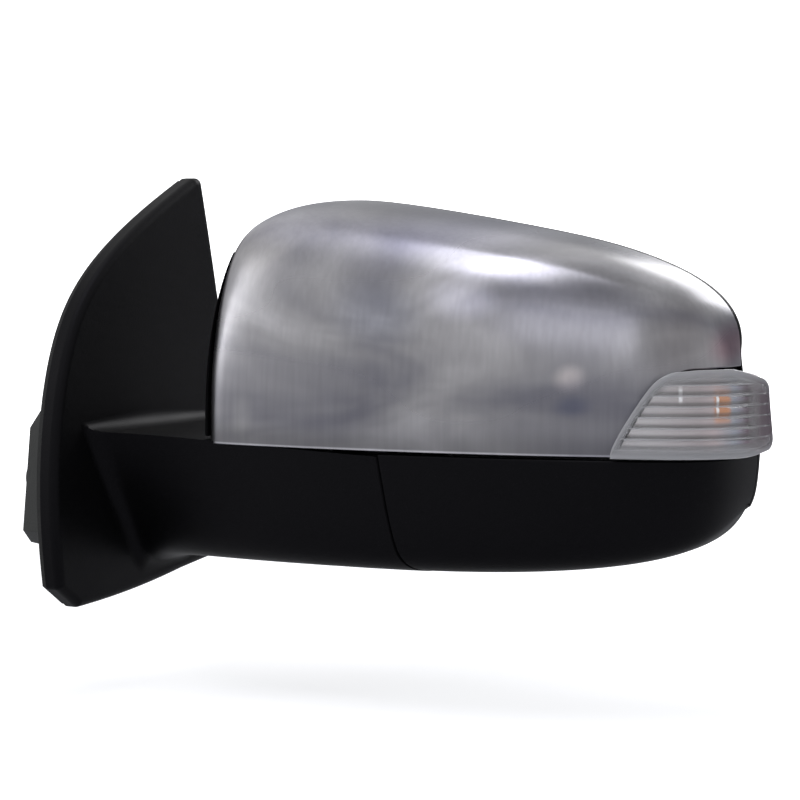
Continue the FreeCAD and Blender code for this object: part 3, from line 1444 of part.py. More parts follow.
def screws():
    """Pan-head screws, grouped by what they hold."""
    short, middle, long = (screw_of(cell) for cell in ("screw_short", "screw_length", "screw_long"))
    doc.recompute()
    plate = size("gasket_thick") + size("bracket_seat")
    group("housing_screws", short, [toward(Vector(plate, y, z), -X_AXIS) for y, z in base_screw_places()])
    fold = fold_frame()
    deck = -size("deck_top") - size("deck_thick")
    group("spindle_screws", long, [fold.multiply(toward(Vector(x, y, deck), -Z_AXIS))
                                   for x, y in spindle_screw_places()])
    ear_top = size("case_ear_foot") + 4
    group("drive_screws", middle, [fold.multiply(toward(Vector(evaluate(x), evaluate(y), ear_top), Z_AXIS))
                                   for x, y in case_ear_places()])
    group("actuator_screws", middle, [toward(place, Y_AXIS) for place in actuator_screw_places()])


# ---------------------------------------------------------------- build and write

base_housing()
door_gasket()
base_bracket()
door_studs()
locating_clip()
harness_boot()
fold_spindle()
detent_plate()
fold_gear()
fold_spring()
spring_washer()
spindle_clip()
fold_drive_case()
fold_drive_lid()
fold_motor()
cap_shell()
lower_cover()
rear_housing()
head_frame()
actuator_case()
actuator_cover()
plungers()
small_motors()
gimbal_cross()
glass_carrier()
heater_pad()
mirror_glass()
lamp_lens()
lamp_housing()
lamp_bulb()
screws()

doc.recompute()
for item in doc.Objects:
    if "Invalid" in item.State or "Error" in item.State:
        raise RuntimeError("failed feature: %s %s" % (item.Name, item.State))
for label, piece in parts.items():
    if piece.Shape.isNull() or not piece.Shape.isValid():
        raise RuntimeError("bad shape: " + label)

os.makedirs("parts", exist_ok=True)
for label, piece in parts.items():
    piece.Shape.exportStep("parts/%s.step" % label)
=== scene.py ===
import math

import bmesh
import bpy
import numpy as np
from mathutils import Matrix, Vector
from mathutils.bvhtree import BVHTree


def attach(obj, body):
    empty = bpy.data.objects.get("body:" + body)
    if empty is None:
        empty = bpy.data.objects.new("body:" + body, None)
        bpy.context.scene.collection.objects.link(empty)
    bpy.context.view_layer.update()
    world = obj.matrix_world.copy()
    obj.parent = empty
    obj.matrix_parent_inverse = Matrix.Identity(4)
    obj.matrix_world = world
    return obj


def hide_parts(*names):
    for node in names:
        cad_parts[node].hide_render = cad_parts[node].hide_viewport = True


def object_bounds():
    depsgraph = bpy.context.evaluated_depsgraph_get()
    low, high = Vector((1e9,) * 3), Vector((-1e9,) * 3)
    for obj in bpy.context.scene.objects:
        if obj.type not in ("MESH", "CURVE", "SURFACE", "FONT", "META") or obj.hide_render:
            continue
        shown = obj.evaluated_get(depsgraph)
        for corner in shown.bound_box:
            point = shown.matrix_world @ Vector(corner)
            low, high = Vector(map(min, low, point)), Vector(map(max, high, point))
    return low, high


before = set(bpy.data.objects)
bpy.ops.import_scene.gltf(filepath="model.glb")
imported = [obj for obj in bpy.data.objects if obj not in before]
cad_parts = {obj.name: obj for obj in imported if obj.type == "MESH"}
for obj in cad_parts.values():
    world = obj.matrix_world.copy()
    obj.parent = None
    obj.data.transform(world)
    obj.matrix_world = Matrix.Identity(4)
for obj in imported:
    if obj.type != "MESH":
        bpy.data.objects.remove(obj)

cad_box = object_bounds()

# ---------------------------------------------------------------- stage
# A pale sweep of floor, a level white world and large soft lamps, with the
# camera a little above the mirror and outboard of its front.

CAMERA_AZIMUTH = math.radians(30)
CAMERA_RISE = math.radians(4)
CAMERA_AIM = Vector((0.151, 0.0, 0.051))
CAMERA_AWAY = 1.3
CAMERA_LENS = 121.9
FLOOR_DROP = 0.045
FLOOR_HALF_WIDE = 4.0
FLOOR_FRONT = -4.0
FLOOR_LONG = 7.2
BEND_RADIUS = 0.8
WALL_RISE = 9.0
FLOOR_SHARE = 0.55
BEND_SHARE = 0.25
LAMP_AIM = (0.18, 0, 0.05)

camera = bpy.data.objects.new("camera", bpy.data.cameras.new("camera"))
camera.data.sensor_width = 36
camera.data.lens = CAMERA_LENS
toward_camera = Vector((math.sin(CAMERA_AZIMUTH) * math.cos(CAMERA_RISE),
                        -math.cos(CAMERA_AZIMUTH) * math.cos(CAMERA_RISE), math.sin(CAMERA_RISE)))
camera.location = CAMERA_AIM + toward_camera * CAMERA_AWAY
camera.rotation_euler = toward_camera.to_track_quat("Z", "Y").to_euler()
bpy.context.collection.objects.link(camera)
bpy.context.scene.camera = camera
bpy.context.scene.view_settings.view_transform = "Standard"


def sheet_mesh(name, points, wrap=False, ring=False):
    """A sheet through a grid of points (rows, columns, 3): each cell is one quad, wrap
    joins the last column to the first, and ring the last row to the first."""
    rows, columns = points.shape[:2]
    index = np.arange(rows * columns).reshape(rows, columns)
    right, below = np.roll(index, -1, axis=1), np.roll(index, -1, axis=0)
    reach = columns if wrap else columns - 1
    last = rows if ring else rows - 1
    corners = (index, right, np.roll(right, -1, axis=0), below)
    quads = np.stack([corner[:last, :reach] for corner in corners], -1)
    mesh = bpy.data.meshes.new(name)
    mesh.from_pydata(points.reshape(-1, 3).tolist(), [], quads.reshape(-1, 4).tolist())
    mesh.update()
    piece = bpy.data.objects.new(name, mesh)
    bpy.context.collection.objects.link(piece)
    return piece


def new_finish(name, colour, **sockets):
    """A node material and its Principled shader, with its own base colour and other plain
    sockets set, their names written with underscores."""
    material = bpy.data.materials.new(name)
    material.use_nodes = True
    shader = material.node_tree.nodes["Principled BSDF"]
    shader.inputs["Base Color"].default_value = (*colour, 1)
    for socket, value in sockets.items():
        shader.inputs[socket.replace("_", " ")].default_value = value
    return material, shader


def feed(tree, node, *sockets, **settings):
    """Set a node's properties by name, then its inputs by place or by names in capitals:
    each takes a value, or a link from another node's output."""
    inputs = dict(enumerate(sockets))
    for key, value in settings.items():
        if key[0].isupper():
            inputs[key.replace("_", " ")] = value
        else:
            setattr(node, key, value)
    for key, value in inputs.items():
        if isinstance(value, bpy.types.NodeSocket):
            tree.links.new(value, node.inputs[key])
        else:
            node.inputs[key].default_value = value
    return node


def add(tree, kind, *sockets, **settings):
    """A new node, fed."""
    return feed(tree, tree.nodes.new(kind), *sockets, **settings)


def maths(tree, operation, *values):
    """Result of a sum on numbers."""
    return add(tree, "ShaderNodeMath", *values, operation=operation).outputs[0]


def vectors(tree, operation, *values, **sockets):
    """Result of a sum on vectors: a number from a dot product or a length."""
    node = add(tree, "ShaderNodeVectorMath", *values, operation=operation, **sockets)
    return node.outputs["Value" if operation in ("DOT_PRODUCT", "LENGTH") else "Vector"]


def remap(tree, value, low, high, to_low=0.0, to_high=1.0, blend="LINEAR"):
    """A value carried from one range to another, and held at its ends."""
    return add(tree, "ShaderNodeMapRange", value, low, high, to_low, to_high,
               interpolation_type=blend).outputs["Result"]


across, along = np.meshgrid(np.linspace(-FLOOR_HALF_WIDE, FLOOR_HALF_WIDE, 9), np.linspace(0, 1, 41))
bend = np.clip((along - FLOOR_SHARE) / BEND_SHARE, 0, 1) * math.pi / 2
floor_y = (FLOOR_FRONT + FLOOR_LONG * np.minimum(along, FLOOR_SHARE) / FLOOR_SHARE
           + BEND_RADIUS * np.sin(bend))
floor_z = (cad_box[0].z - FLOOR_DROP + BEND_RADIUS * (1 - np.cos(bend))
           + WALL_RISE * np.clip(along - FLOOR_SHARE - BEND_SHARE, 0, 1))
sweep = sheet_mesh("sweep", np.stack([across, floor_y, floor_z], -1))
sweep.data.shade_smooth()
paper, shader = new_finish("paper", (0.86, 0.86, 0.87), Roughness=0.9)
tree = paper.node_tree
ray = add(tree, "ShaderNodeLightPath").outputs
seen = maths(tree, "MAXIMUM", ray["Is Camera Ray"], ray["Is Transmission Ray"])
away = vectors(tree, "LENGTH", add(tree, "ShaderNodeTexCoord").outputs["Object"])
lift = remap(tree, away, 0.4, 1.6, 0.47, 1.5)
feed(tree, shader, Emission_Color=(1, 1, 1, 1), Emission_Strength=maths(tree, "MULTIPLY", seen, lift))
sweep.data.materials.append(paper)

world = bpy.data.worlds.new("room")
world.use_nodes = True
bpy.context.scene.world = world
tree = world.node_tree
room_light = feed(tree, tree.nodes["Background"], Color=(0.80, 0.82, 0.86, 1), Strength=0.55)
room_seen = add(tree, "ShaderNodeBackground", Color=(1, 1, 1, 1), Strength=1.0)
ray = add(tree, "ShaderNodeLightPath").outputs
glossy = maths(tree, "MAXIMUM", ray["Is Camera Ray"], ray["Is Glossy Ray"])
seen = maths(tree, "MAXIMUM", glossy, ray["Is Transmission Ray"])
mix = add(tree, "ShaderNodeMixShader", seen, room_light.outputs[0], room_seen.outputs[0])
feed(tree, tree.nodes["World Output"], Surface=mix.outputs[0])


def soft_lamp(name, place, aim, wide, tall, power, colour=(1, 1, 1)):
    """A rectangular lamp at a place, turned to an aim."""
    lamp = bpy.data.objects.new(name, bpy.data.lights.new(name, "AREA"))
    lamp.data.shape = "RECTANGLE"
    lamp.data.size, lamp.data.size_y = wide, tall
    lamp.data.energy = power
    lamp.data.color = colour
    lamp.location = place
    lamp.rotation_euler = (Vector(place) - Vector(aim)).to_track_quat("Z", "Y").to_euler()
    bpy.context.collection.objects.link(lamp)


soft_lamp("lamp_over", (0.05, -0.5, 1.5), LAMP_AIM, 0.7, 1.0, 5.5, (0.92, 0.92, 1.0))
soft_lamp("lamp_front", (0.62, -1.5, 0.95), LAMP_AIM, 1.0, 0.5, 2.2, (0.94, 0.94, 1.0))
soft_lamp("lamp_side", (-0.9, -0.9, 0.5), (0.1, 0, 0.05), 0.25, 0.9, 2.6)
soft_lamp("lamp_rear", (0.3, 1.5, 0.9), LAMP_AIM, 0.9, 0.6, 9.0)

# ---------------------------------------------------------------- dull plastics and rubber
# Every moulded piece has a fine pebbled grain, and rubber and foam a coarser one.
# The arm gets the fillet that joins it to the sail, and the rubber boot a back that
# draws in towards its top, with rounded edges.

mm = 0.001
SAIL_FACE_X = 12 * mm
SAIL_SIDE_X = 7 * mm
ROOT_ROUND = 8 * mm
ROOT_LEAST = 0.6 * mm
ROOT_MARGIN = 4.5 * mm
ROOT_TUCK = 1 * mm
ROOT_PROUD = 0.02 * mm
ROOT_MIDDLE = np.array([-8, -4]) * mm
ROOT_TURNS = 360
ROOT_STEPS = 11
ROOT_LEAST_OF = range(-9, 10)
ROOT_MEAN_OF = range(-6, 7)
RAY_START = 0.3
SKIN_CLEAR = 0.1 * mm
BOOT_HEIGHTS = np.array([-24, 36, 52]) * mm
BOOT_DEEP = np.array([1.15, 0.86, 0.25])
BOOT_FRONT_X = -1 * mm
BOOT_BACK_X = -20 * mm
BOOT_SPARE = 0.8 * mm
BOOT_SHORT_EDGE = 6 * mm
BOOT_ROUND = 3.5 * mm
ROUGHNESS_DRIFT = 0.08
TONE_DRIFT = 0.18
GRAIN_DEEP = 0.4 * mm


def moulded_grain():
    """Group that turns a place into a fine pebbled Height and a broad, slow Tone."""
    group = bpy.data.node_groups.new("moulded_grain", "ShaderNodeTree")
    for label, first in (("Fineness", 1800.0), ("Tone Scale", 18.0)):
        socket = group.interface.new_socket(label, in_out="INPUT", socket_type="NodeSocketFloat")
        socket.default_value = first
    for label in ("Height", "Tone"):
        group.interface.new_socket(label, in_out="OUTPUT", socket_type="NodeSocketFloat")
    entry = add(group, "NodeGroupInput").outputs
    place = add(group, "ShaderNodeTexCoord").outputs["Object"]
    pebbles = add(group, "ShaderNodeTexVoronoi", feature="SMOOTH_F1", Vector=place,
                  Scale=entry["Fineness"], Smoothness=0.6)
    dust = add(group, "ShaderNodeTexNoise", Vector=place, Scale=entry["Fineness"], Detail=3.0)
    slow = add(group, "ShaderNodeTexNoise", Vector=place, Scale=entry["Tone Scale"], Detail=2.0)
    height = maths(group, "MULTIPLY_ADD", dust.outputs["Fac"], 0.5, pebbles.outputs["Distance"])
    add(group, "NodeGroupOutput", Height=height, Tone=slow.outputs["Fac"])
    return group


grain_group = moulded_grain()


def grained(name, colour, roughness, fineness=1800.0, depth=0.12, **sockets):
    """A moulded finish: pebbled bump, and a roughness and colour that drift a little."""
    material, shader = new_finish(name, colour, **sockets)
    tree = material.node_tree
    grain = add(tree, "ShaderNodeGroup", node_tree=grain_group, Fineness=fineness)
    height, tone = grain.outputs["Height"], grain.outputs["Tone"]
    bump = add(tree, "ShaderNodeBump", Strength=depth, Distance=GRAIN_DEEP, Height=height)
    shade = add(tree, "ShaderNodeMix", data_type="RGBA", Factor=tone,
                A=(*((1 - TONE_DRIFT) * part for part in colour), 1),
                B=(*((1 + TONE_DRIFT) * part for part in colour), 1))
    rough = remap(tree, tone, 0, 1, roughness - ROUGHNESS_DRIFT, roughness + ROUGHNESS_DRIFT)
    feed(tree, shader, Base_Color=shade.outputs["Result"], Roughness=rough,
         Normal=bump.outputs["Normal"])
    return material


def dress(material, *nodes):
    """Give CAD nodes a finish."""
    for node in nodes:
        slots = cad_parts[node].data.materials
        slots.clear()
        slots.append(material)


black_grain = grained("grained_black", (0.0016, 0.0016, 0.0018), 0.46, fineness=1500.0,
                      Specular_IOR_Level=0.085, Specular_Tint=(0.9, 0.88, 1.0, 1))
dress(black_grain, "base_housing", "rear_housing")


def welded(node):
    """A CAD node's mesh with its corners joined, for a new piece to grow from."""
    mesh = bmesh.new()
    mesh.from_mesh(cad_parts[node].data)
    bmesh.ops.remove_doubles(mesh, verts=mesh.verts, dist=1e-6)
    return mesh


def root_reach(tree, x, turns):
    """Distance from the arm's middle out to the skin at each turn, at a place along X."""
    reach = []
    for place, turn in zip(x, turns):
        out = Vector((0, math.cos(turn), math.sin(turn)))
        start = Vector((place, *ROOT_MIDDLE)) + out * RAY_START
        reach.append(RAY_START - tree.ray_cast(start, -out)[3])
    return np.array(reach)


skin = welded("base_housing")
skin_tree = BVHTree.FromBMesh(skin)
skin.free()
turns = np.linspace(0, 2 * math.pi, ROOT_TURNS, endpoint=False)
arm_side = root_reach(skin_tree, np.full(ROOT_TURNS, SAIL_FACE_X + SKIN_CLEAR), turns)
sail_side = root_reach(skin_tree, np.full(ROOT_TURNS, SAIL_SIDE_X), turns)
room = np.clip(sail_side - arm_side - ROOT_MARGIN, ROOT_LEAST, ROOT_ROUND)
room = np.min([np.roll(room, step) for step in ROOT_LEAST_OF], axis=0)
room = np.mean([np.roll(room, step) for step in ROOT_MEAN_OF], axis=0)
strip = []
for bend in np.linspace(0, math.pi / 2, ROOT_STEPS):
    x = SAIL_FACE_X + room * (1 - math.cos(bend)) + ROOT_PROUD
    strip.append((x, root_reach(skin_tree, x + SKIN_CLEAR, turns) + room * (1 - math.sin(bend))))
(first_x, first_reach), (last_x, last_reach) = strip[0], strip[-1]
strip += [(last_x, last_reach - ROOT_TUCK), (first_x - ROOT_TUCK, arm_side - ROOT_TUCK),
          (first_x - ROOT_TUCK, first_reach)]
middle_y, middle_z = ROOT_MIDDLE
ring = np.stack([np.stack([x, middle_y + reach * np.cos(turns), middle_z + reach * np.sin(turns)], -1)
                 for x, reach in strip], axis=1)
root = sheet_mesh("arm_root", ring, wrap=True, ring=True)
root.data.shade_smooth()
root.data.set_sharp_from_angle(angle=math.radians(40))
root.data.materials.append(black_grain)
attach(root, "base")

dress(grained("gasket_foam", (0.010, 0.010, 0.010), 0.85, fineness=900.0, depth=0.5), "door_gasket")

boot_mesh = welded("harness_boot")
bmesh.ops.dissolve_limit(boot_mesh, angle_limit=math.radians(1), verts=boot_mesh.verts,
                         edges=boot_mesh.edges)
bmesh.ops.bisect_plane(boot_mesh, geom=boot_mesh.verts[:] + boot_mesh.edges[:] + boot_mesh.faces[:],
                       plane_co=(0, 0, BOOT_HEIGHTS[1]), plane_no=(0, 0, 1))
soften = boot_mesh.edges.layers.float.new("bevel_weight_edge")
for vert in boot_mesh.verts:
    if vert.co.x < BOOT_FRONT_X:
        deep = np.interp(vert.co.z, BOOT_HEIGHTS, BOOT_DEEP)
        vert.co.x = max(vert.co.x * deep, BOOT_BACK_X * deep - BOOT_SPARE, cad_box[0].x)
boot_mesh.normal_update()
for edge in boot_mesh.edges:
    if edge.calc_length() > BOOT_SHORT_EDGE and edge.calc_face_angle(0) > math.radians(12):
        edge[soften] = 1.0
boot = bpy.data.objects.new("boot_skin", bpy.data.meshes.new("boot_skin"))
boot_mesh.to_mesh(boot.data)
boot_mesh.free()
bpy.context.collection.objects.link(boot)
boot.data.shade_smooth()
rounds = boot.modifiers.new("rounds", "BEVEL")
rounds.limit_method = "WEIGHT"
rounds.width = BOOT_ROUND
rounds.segments = 5
boot.data.set_sharp_from_angle(angle=math.radians(50))
boot.data.materials.append(grained("boot_rubber", (0.009, 0.010, 0.009), 0.6, fineness=1200.0,
                                   depth=0.2))
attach(boot, "base")
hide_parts("harness_boot")
dress(grained("frame_plastic", (0.05, 0.05, 0.055), 0.5), "head_frame", "glass_carrier")
dress(grained("drive_plastic", (0.10, 0.10, 0.105), 0.45), "fold_drive_case", "fold_drive_lid",
      "actuator_case", "actuator_cover")
dress(grained("gear_plastic", (0.72, 0.70, 0.62), 0.4, depth=0.05), "fold_gear", "gimbal_cross",
      "tilt_plunger", "pan_plunger", "locating_clip")
dress(grained("heater_foil", (0.32, 0.17, 0.08), 0.4, depth=0.05), "heater_pad")

# ---------------------------------------------------------------- metals
# Cast bracket, plated studs and screws, turned steel on the fold axis and the
# motors' drawn cans, and the silvered glass.

dress(grained("cast_alloy", (0.40, 0.41, 0.42), 0.5, fineness=700.0, depth=0.3, Metallic=0.9),
      "base_bracket")
dress(grained("zinc_steel", (0.62, 0.61, 0.56), 0.3, depth=0.04, Metallic=1.0),
      "door_studs", "housing_screws", "spindle_screws", "drive_screws", "actuator_screws")
dress(grained("turned_steel", (0.50, 0.50, 0.51), 0.32, depth=0.04, Metallic=1.0),
      "fold_spindle", "detent_plate", "spindle_clip", "spring_washer")
dress(grained("spring_steel", (0.22, 0.22, 0.24), 0.35, depth=0.04, Metallic=1.0), "fold_spring")
dress(grained("motor_can", (0.55, 0.55, 0.57), 0.28, depth=0.03, Metallic=1.0),
      "fold_motor", "tilt_motor", "pan_motor")
silvered, shader = new_finish("silvered_glass", (0.86, 0.88, 0.90), Metallic=1.0, Roughness=0.015)
dress(silvered, "mirror_glass")

# ---------------------------------------------------------------- skull cap
# Chromed plastic shell over the front of the head.  It is one smooth surface with
# a soft crease under the crown, trimmed at the seam, the lamp and the rear ring.

HEAD_INBOARD = 68 * mm
HEAD_LENGTH = 249 * mm
HEAD_DEPTH = 94 * mm
HEAD_TOP = 149 * mm
HEAD_BASE = 8 * mm
END_FORWARD = 50 * mm
PROUD_FORWARD = 0.35
RIM_Y = 45 * mm
CAP_REAR_Y = 42.5 * mm
CAP_EDGE_X = 72 * mm
CAP_EDGE_SPARE = 1 * mm
CAP_TURN_Y = -36 * mm
CAP_TURN_RUN = 16 * mm
CAP_TURN_Z = 118 * mm
CAP_TURN_RISE = 8 * mm
CAP_WALL = 2.0 * mm
CAP_ROUND = 0.45 * mm
CAP_TUCK = 1.4 * mm
CAP_TUCK_START = 24 * mm
CAP_TUCK_RUN = 16 * mm
SKIRT_Z = 30.3 * mm
LAMP_TALL = 40.4 * mm
LAMP_GAP = 0.4 * mm
LAMP_START = 0.83
LAMP_TIP_X = HEAD_INBOARD + LAMP_START * HEAD_LENGTH
TRIM_SAMPLES = 900
TRIM_ROUNDS = 40
CALM_ROUNDS = 300
CALM_LIMIT = 0.6
SWAY = 0.02
# A level line along the cap's broad side, towards the head's tip.
BROADSIDE = (0.866, 0.5, 0.0)

# Along the head: place, depth forward of the rim and height of the crown, as shares.
HEAD_STATIONS = np.array([
    (0.000, 0.979, 0.800), (0.032, 1.000, 1.007), (0.257, 1.000, 0.975),
    (0.550, 0.894, 0.894), (0.811, 0.723, 0.809), (0.980, 0.489, 0.638)])
# From the rim over the crown and down the front: share of the depth and of the drop.
HEAD_ROWS = np.array([
    (0.00, 0.000), (0.30, 0.000), (0.62, 0.040), (0.80, 0.100),
    (0.95, 0.360), (1.00, 0.620), (1.00, 0.850), (0.99, 1.000)])
# The same rows at the head's flat ends: share of the drop and of the turn forward.
END_ROWS = np.array([0.0, 0.04, 0.12, 0.22, 0.45, 0.66, 0.86, 1.0])
END_TURN = np.array([0.0, 0.60, 0.90, 1.0, 1.0, 1.0, 1.0, 1.0])
# The lamp's upper edge: share of the head's length past the lamp's tip, and height in mm.
ARCH = np.array([(0.000, 0.0), (0.005, 5.2), (0.020, 12.7), (0.037, 20.1), (0.055, 27.6), (0.071, 33.6),
                 (0.084, 36.8), (0.102, 39.2), (0.145, 40.3), (0.250, 40.4), (0.400, 40.4)])
ARCH_POINTS = 400
ARCH_SPREAD = 25
# Painted reflections in the cap's colour, dark pools and bright highlights: middle across the view and
# up, reach, and gain.
PAINTED_POOLS = (
    ((0.2247, 0.1095), (0.0376, 0.0160), (0.62, 0.62, 0.63)),
    ((0.2670, 0.1062), (0.0291, 0.0207), (0.5, 0.5, 0.51)),
    ((0.2566, 0.0813), (0.0263, 0.0235), (0.74, 0.72, 0.72)),
    ((0.2059, 0.0668), (0.0103, 0.0080), (1.75, 1.66, 1.58)),
    ((0.2087, 0.0536), (0.0122, 0.0075), (0.72, 0.75, 0.86)),
    ((0.0641, 0.1203), (0.0216, 0.0244), (1.18, 1.17, 1.14)),
    ((0.2848, 0.0790), (0.0188, 0.0141), (1.0, 0.7, 0.76)),
    ((0.1167, 0.0949), (0.0282, 0.0188), (0.86, 0.88, 0.95)),
    ((0.0979, 0.0297), (0.2911, 0.0141), (0.66, 0.66, 0.66)),
    ((0.1566, 0.1306), (0.0634, 0.0141), (1.6, 1.6, 1.72)),
    ((0.0839, 0.1344), (0.0516, 0.0160), (1.25, 1.25, 1.3)),
    ((0.1777, 0.1132), (0.0329, 0.0103), (1.35, 1.35, 1.42)),
    ((0.1566, 0.1001), (0.0216, 0.0113), (1.75, 1.75, 1.85)),
    ((0.0557, 0.0438), (0.0075, 0.0141), (1.3, 1.3, 1.25)),
)


def clamped_weights(count, at):
    """Weight of each of count poles of a clamped uniform cubic at places from 0 to 1, by
    the Cox-de Boor rule; the last axis runs over the poles."""
    knots = np.concatenate([np.zeros(3), np.linspace(0, 1, count - 2), np.ones(3)])
    at = np.clip(at, 0, 1 - 1e-9)[..., None]
    weights = ((knots[:-1] <= at) & (at < knots[1:])).astype(float)
    for degree in (1, 2, 3):
        rise = knots[degree:-1] - knots[:-degree - 1]
        fall = knots[degree + 1:] - knots[1:-degree]
        up = (at - knots[:-degree - 1]) / np.where(rise > 0, rise, np.inf)
        down = (knots[degree + 1:] - at) / np.where(fall > 0, fall, np.inf)
        weights = up * weights[..., :-1] + down * weights[..., 1:]
    return weights


def cubic_surface(net, u, v):
    """Points of the cubic surface of a net of poles at places u, v: each is the sum of
    the poles times their weights along u and along v."""
    across, along = clamped_weights(net.shape[0], u), clamped_weights(net.shape[1], v)
    return np.einsum("...i,...j,ijk->...k", across, along, net)


def head_net(proud=0.0):
    """Poles of the head's form: a flat end, the stations and the tip; proud pushes
    the tip out and forward, as on the lamp."""
    crown = HEAD_TOP - HEAD_BASE
    long = HEAD_LENGTH + proud

    def end(top_share, foot_share, height, forward):
        share = top_share + (foot_share - top_share) * END_ROWS
        top = HEAD_BASE + crown * height
        return np.stack([HEAD_INBOARD + long * share, RIM_Y - forward * END_TURN,
                         top - (top - HEAD_BASE) * END_ROWS], -1)

    share, deep, height = HEAD_STATIONS.T[:, :, None]
    forward, fall = HEAD_ROWS.T[:, None, :]
    reach = HEAD_DEPTH * deep + proud * PROUD_FORWARD * share ** 3
    top = HEAD_BASE + crown * height
    body = np.stack(np.broadcast_arrays(HEAD_INBOARD + long * share, RIM_Y - forward * reach,
                                        top - fall * (top - HEAD_BASE)), -1)
    starts = np.stack([end(0.048, 0.032, 0.738, 0.0), end(0.024, 0.008, 0.738, END_FORWARD)])
    return np.concatenate([starts, body, end(0.964, 1.000, 0.482, 0.0)[None]])


def limits(within):
    """The first and last share of each row where a field is above zero; rows without
    such a place take after their neighbours."""
    share = np.linspace(0, 1, len(within))
    good = np.any(within > 0, axis=1)
    sides = []
    for field in (within, within[:, ::-1]):
        rows = np.arange(len(field))
        at = np.argmax(field > 0, axis=1)
        before = np.maximum(at - 1, 0)
        low, high = field[rows, before], field[rows, at]
        step = np.where(at > 0, before - low / np.where(high != low, high - low, 1), 0)
        sides.append(np.interp(share, share[good], step[good] / (field.shape[1] - 1)))
    return sides[0], 1 - sides[1]


def trimmed(net, rows, columns, start_u, start_v, end_v, end_u=None):
    """Places u, v of a grid on the part of a surface where the fields are positive: each
    side of the grid lies on a zero line, found by going to and fro between u and v.
    Without end_u the grid ends where its first and last columns meet."""
    share = np.linspace(0, 1, TRIM_SAMPLES)
    points = cubic_surface(net, *np.meshgrid(share, share, indexing="ij"))
    within = np.minimum(start_v(points), end_v(points))
    v_first, v_last = limits(within)
    if end_u:
        u_first, u_last = limits(np.minimum(start_u(points), end_u(points)).T)
    else:
        meet = np.flatnonzero(np.any(within > 0, axis=1)).max()
        u_first, u_last = limits(start_u(points).T)[0], np.full(len(share), share[meet])
    s, t = np.meshgrid(rows, columns, indexing="ij")
    v = t
    for _ in range(TRIM_ROUNDS):
        first, last = np.interp(v, share, u_first), np.interp(v, share, u_last)
        u = first + (last - first) * s
        first, last = np.interp(u, share, v_first), np.interp(u, share, v_last)
        v = first + (last - first) * t
    return u, v


def edged(count, near):
    """Shares from 0 to 1, close together within a short run from either end."""
    steps = near * np.array([0, 0.08, 0.3, 0.65])
    return np.concatenate([steps, np.linspace(near, 1 - near, count), 1 - steps[::-1]])


def eased(shares):
    """Shares drawn together towards 1, where a surface narrows to its tip."""
    return np.sin(shares * math.pi / 2)


def surface_normal(net, u, v):
    """Unit normals, out of the piece, at places on a surface."""
    step = 1e-4
    low_u, high_u = np.maximum(u - step, 0), np.minimum(u + step, 1)
    low_v, high_v = np.maximum(v - step, 0), np.minimum(v + step, 1)
    along_u = cubic_surface(net, high_u, v) - cubic_surface(net, low_u, v)
    along_v = cubic_surface(net, u, high_v) - cubic_surface(net, u, low_v)
    normal = np.cross(along_v, along_u)
    return normal / np.maximum(np.linalg.norm(normal, axis=-1, keepdims=True), 1e-12)


def nearest(face, sides):
    """Distance of each point of a grid from the nearest of its sides, along its own row
    or column."""
    return np.min([np.linalg.norm(face - side, axis=-1) for side in sides], axis=0)


def shell_of(name, net, u, v, wall, edge):
    """A closed shell under the part of a surface at places u, v: its wall may vary, its
    rim is rounded, and its face is shaded by the surface's own normals.  Where the
    surface folds back on itself at a tip, the normals of its surroundings are used."""
    face, normal = cubic_surface(net, u, v), surface_normal(net, u, v)
    calm = normal
    for _ in range(CALM_ROUNDS):
        wide = np.pad(calm, ((1, 1), (1, 1), (0, 0)), mode="edge")
        calm = wide[:-2, 1:-1] + wide[2:, 1:-1] + wide[1:-1, :-2] + wide[1:-1, 2:]
        calm /= np.linalg.norm(calm, axis=-1, keepdims=True)
    normal = np.where((normal * calm).sum(-1, keepdims=True) < CALM_LIMIT, calm, normal)
    away = nearest(face, (face[:1], face[-1:], face[:, :1], face[:, -1:]))
    sunk = edge - np.sqrt(edge ** 2 - (edge - np.clip(away, 0, edge)) ** 2)
    outer = face - normal * sunk[..., None]
    inner = face - normal * np.broadcast_to(wall, away.shape)[..., None]
    rows, columns = away.shape
    piece = sheet_mesh(name, np.concatenate([outer, inner[:, ::-1]], axis=1), wrap=True)
    points = [tuple(vert.co) for vert in piece.data.vertices]
    quads = [tuple(side.vertices) for side in piece.data.polygons]
    near = np.arange(columns - 1)
    far = 2 * columns - 1 - near
    for start, turn in ((0, 1), ((rows - 1) * 2 * columns, -1)):
        ends = np.stack([near, far, far - 1, near + 1], -1)[:, ::turn] + start
        quads += [tuple(quad) for quad in ends.tolist()]
    piece.data.clear_geometry()
    piece.data.from_pydata(points, [], quads)
    piece.data.update()
    piece.data.shade_smooth()
    piece.data.set_sharp_from_angle(angle=math.radians(50))
    shown = np.where((away >= edge)[..., None], normal, 0)
    piece.data.normals_split_custom_set_from_vertices(
        np.concatenate([shown, np.zeros_like(shown)], axis=1).reshape(-1, 3).tolist())
    return piece


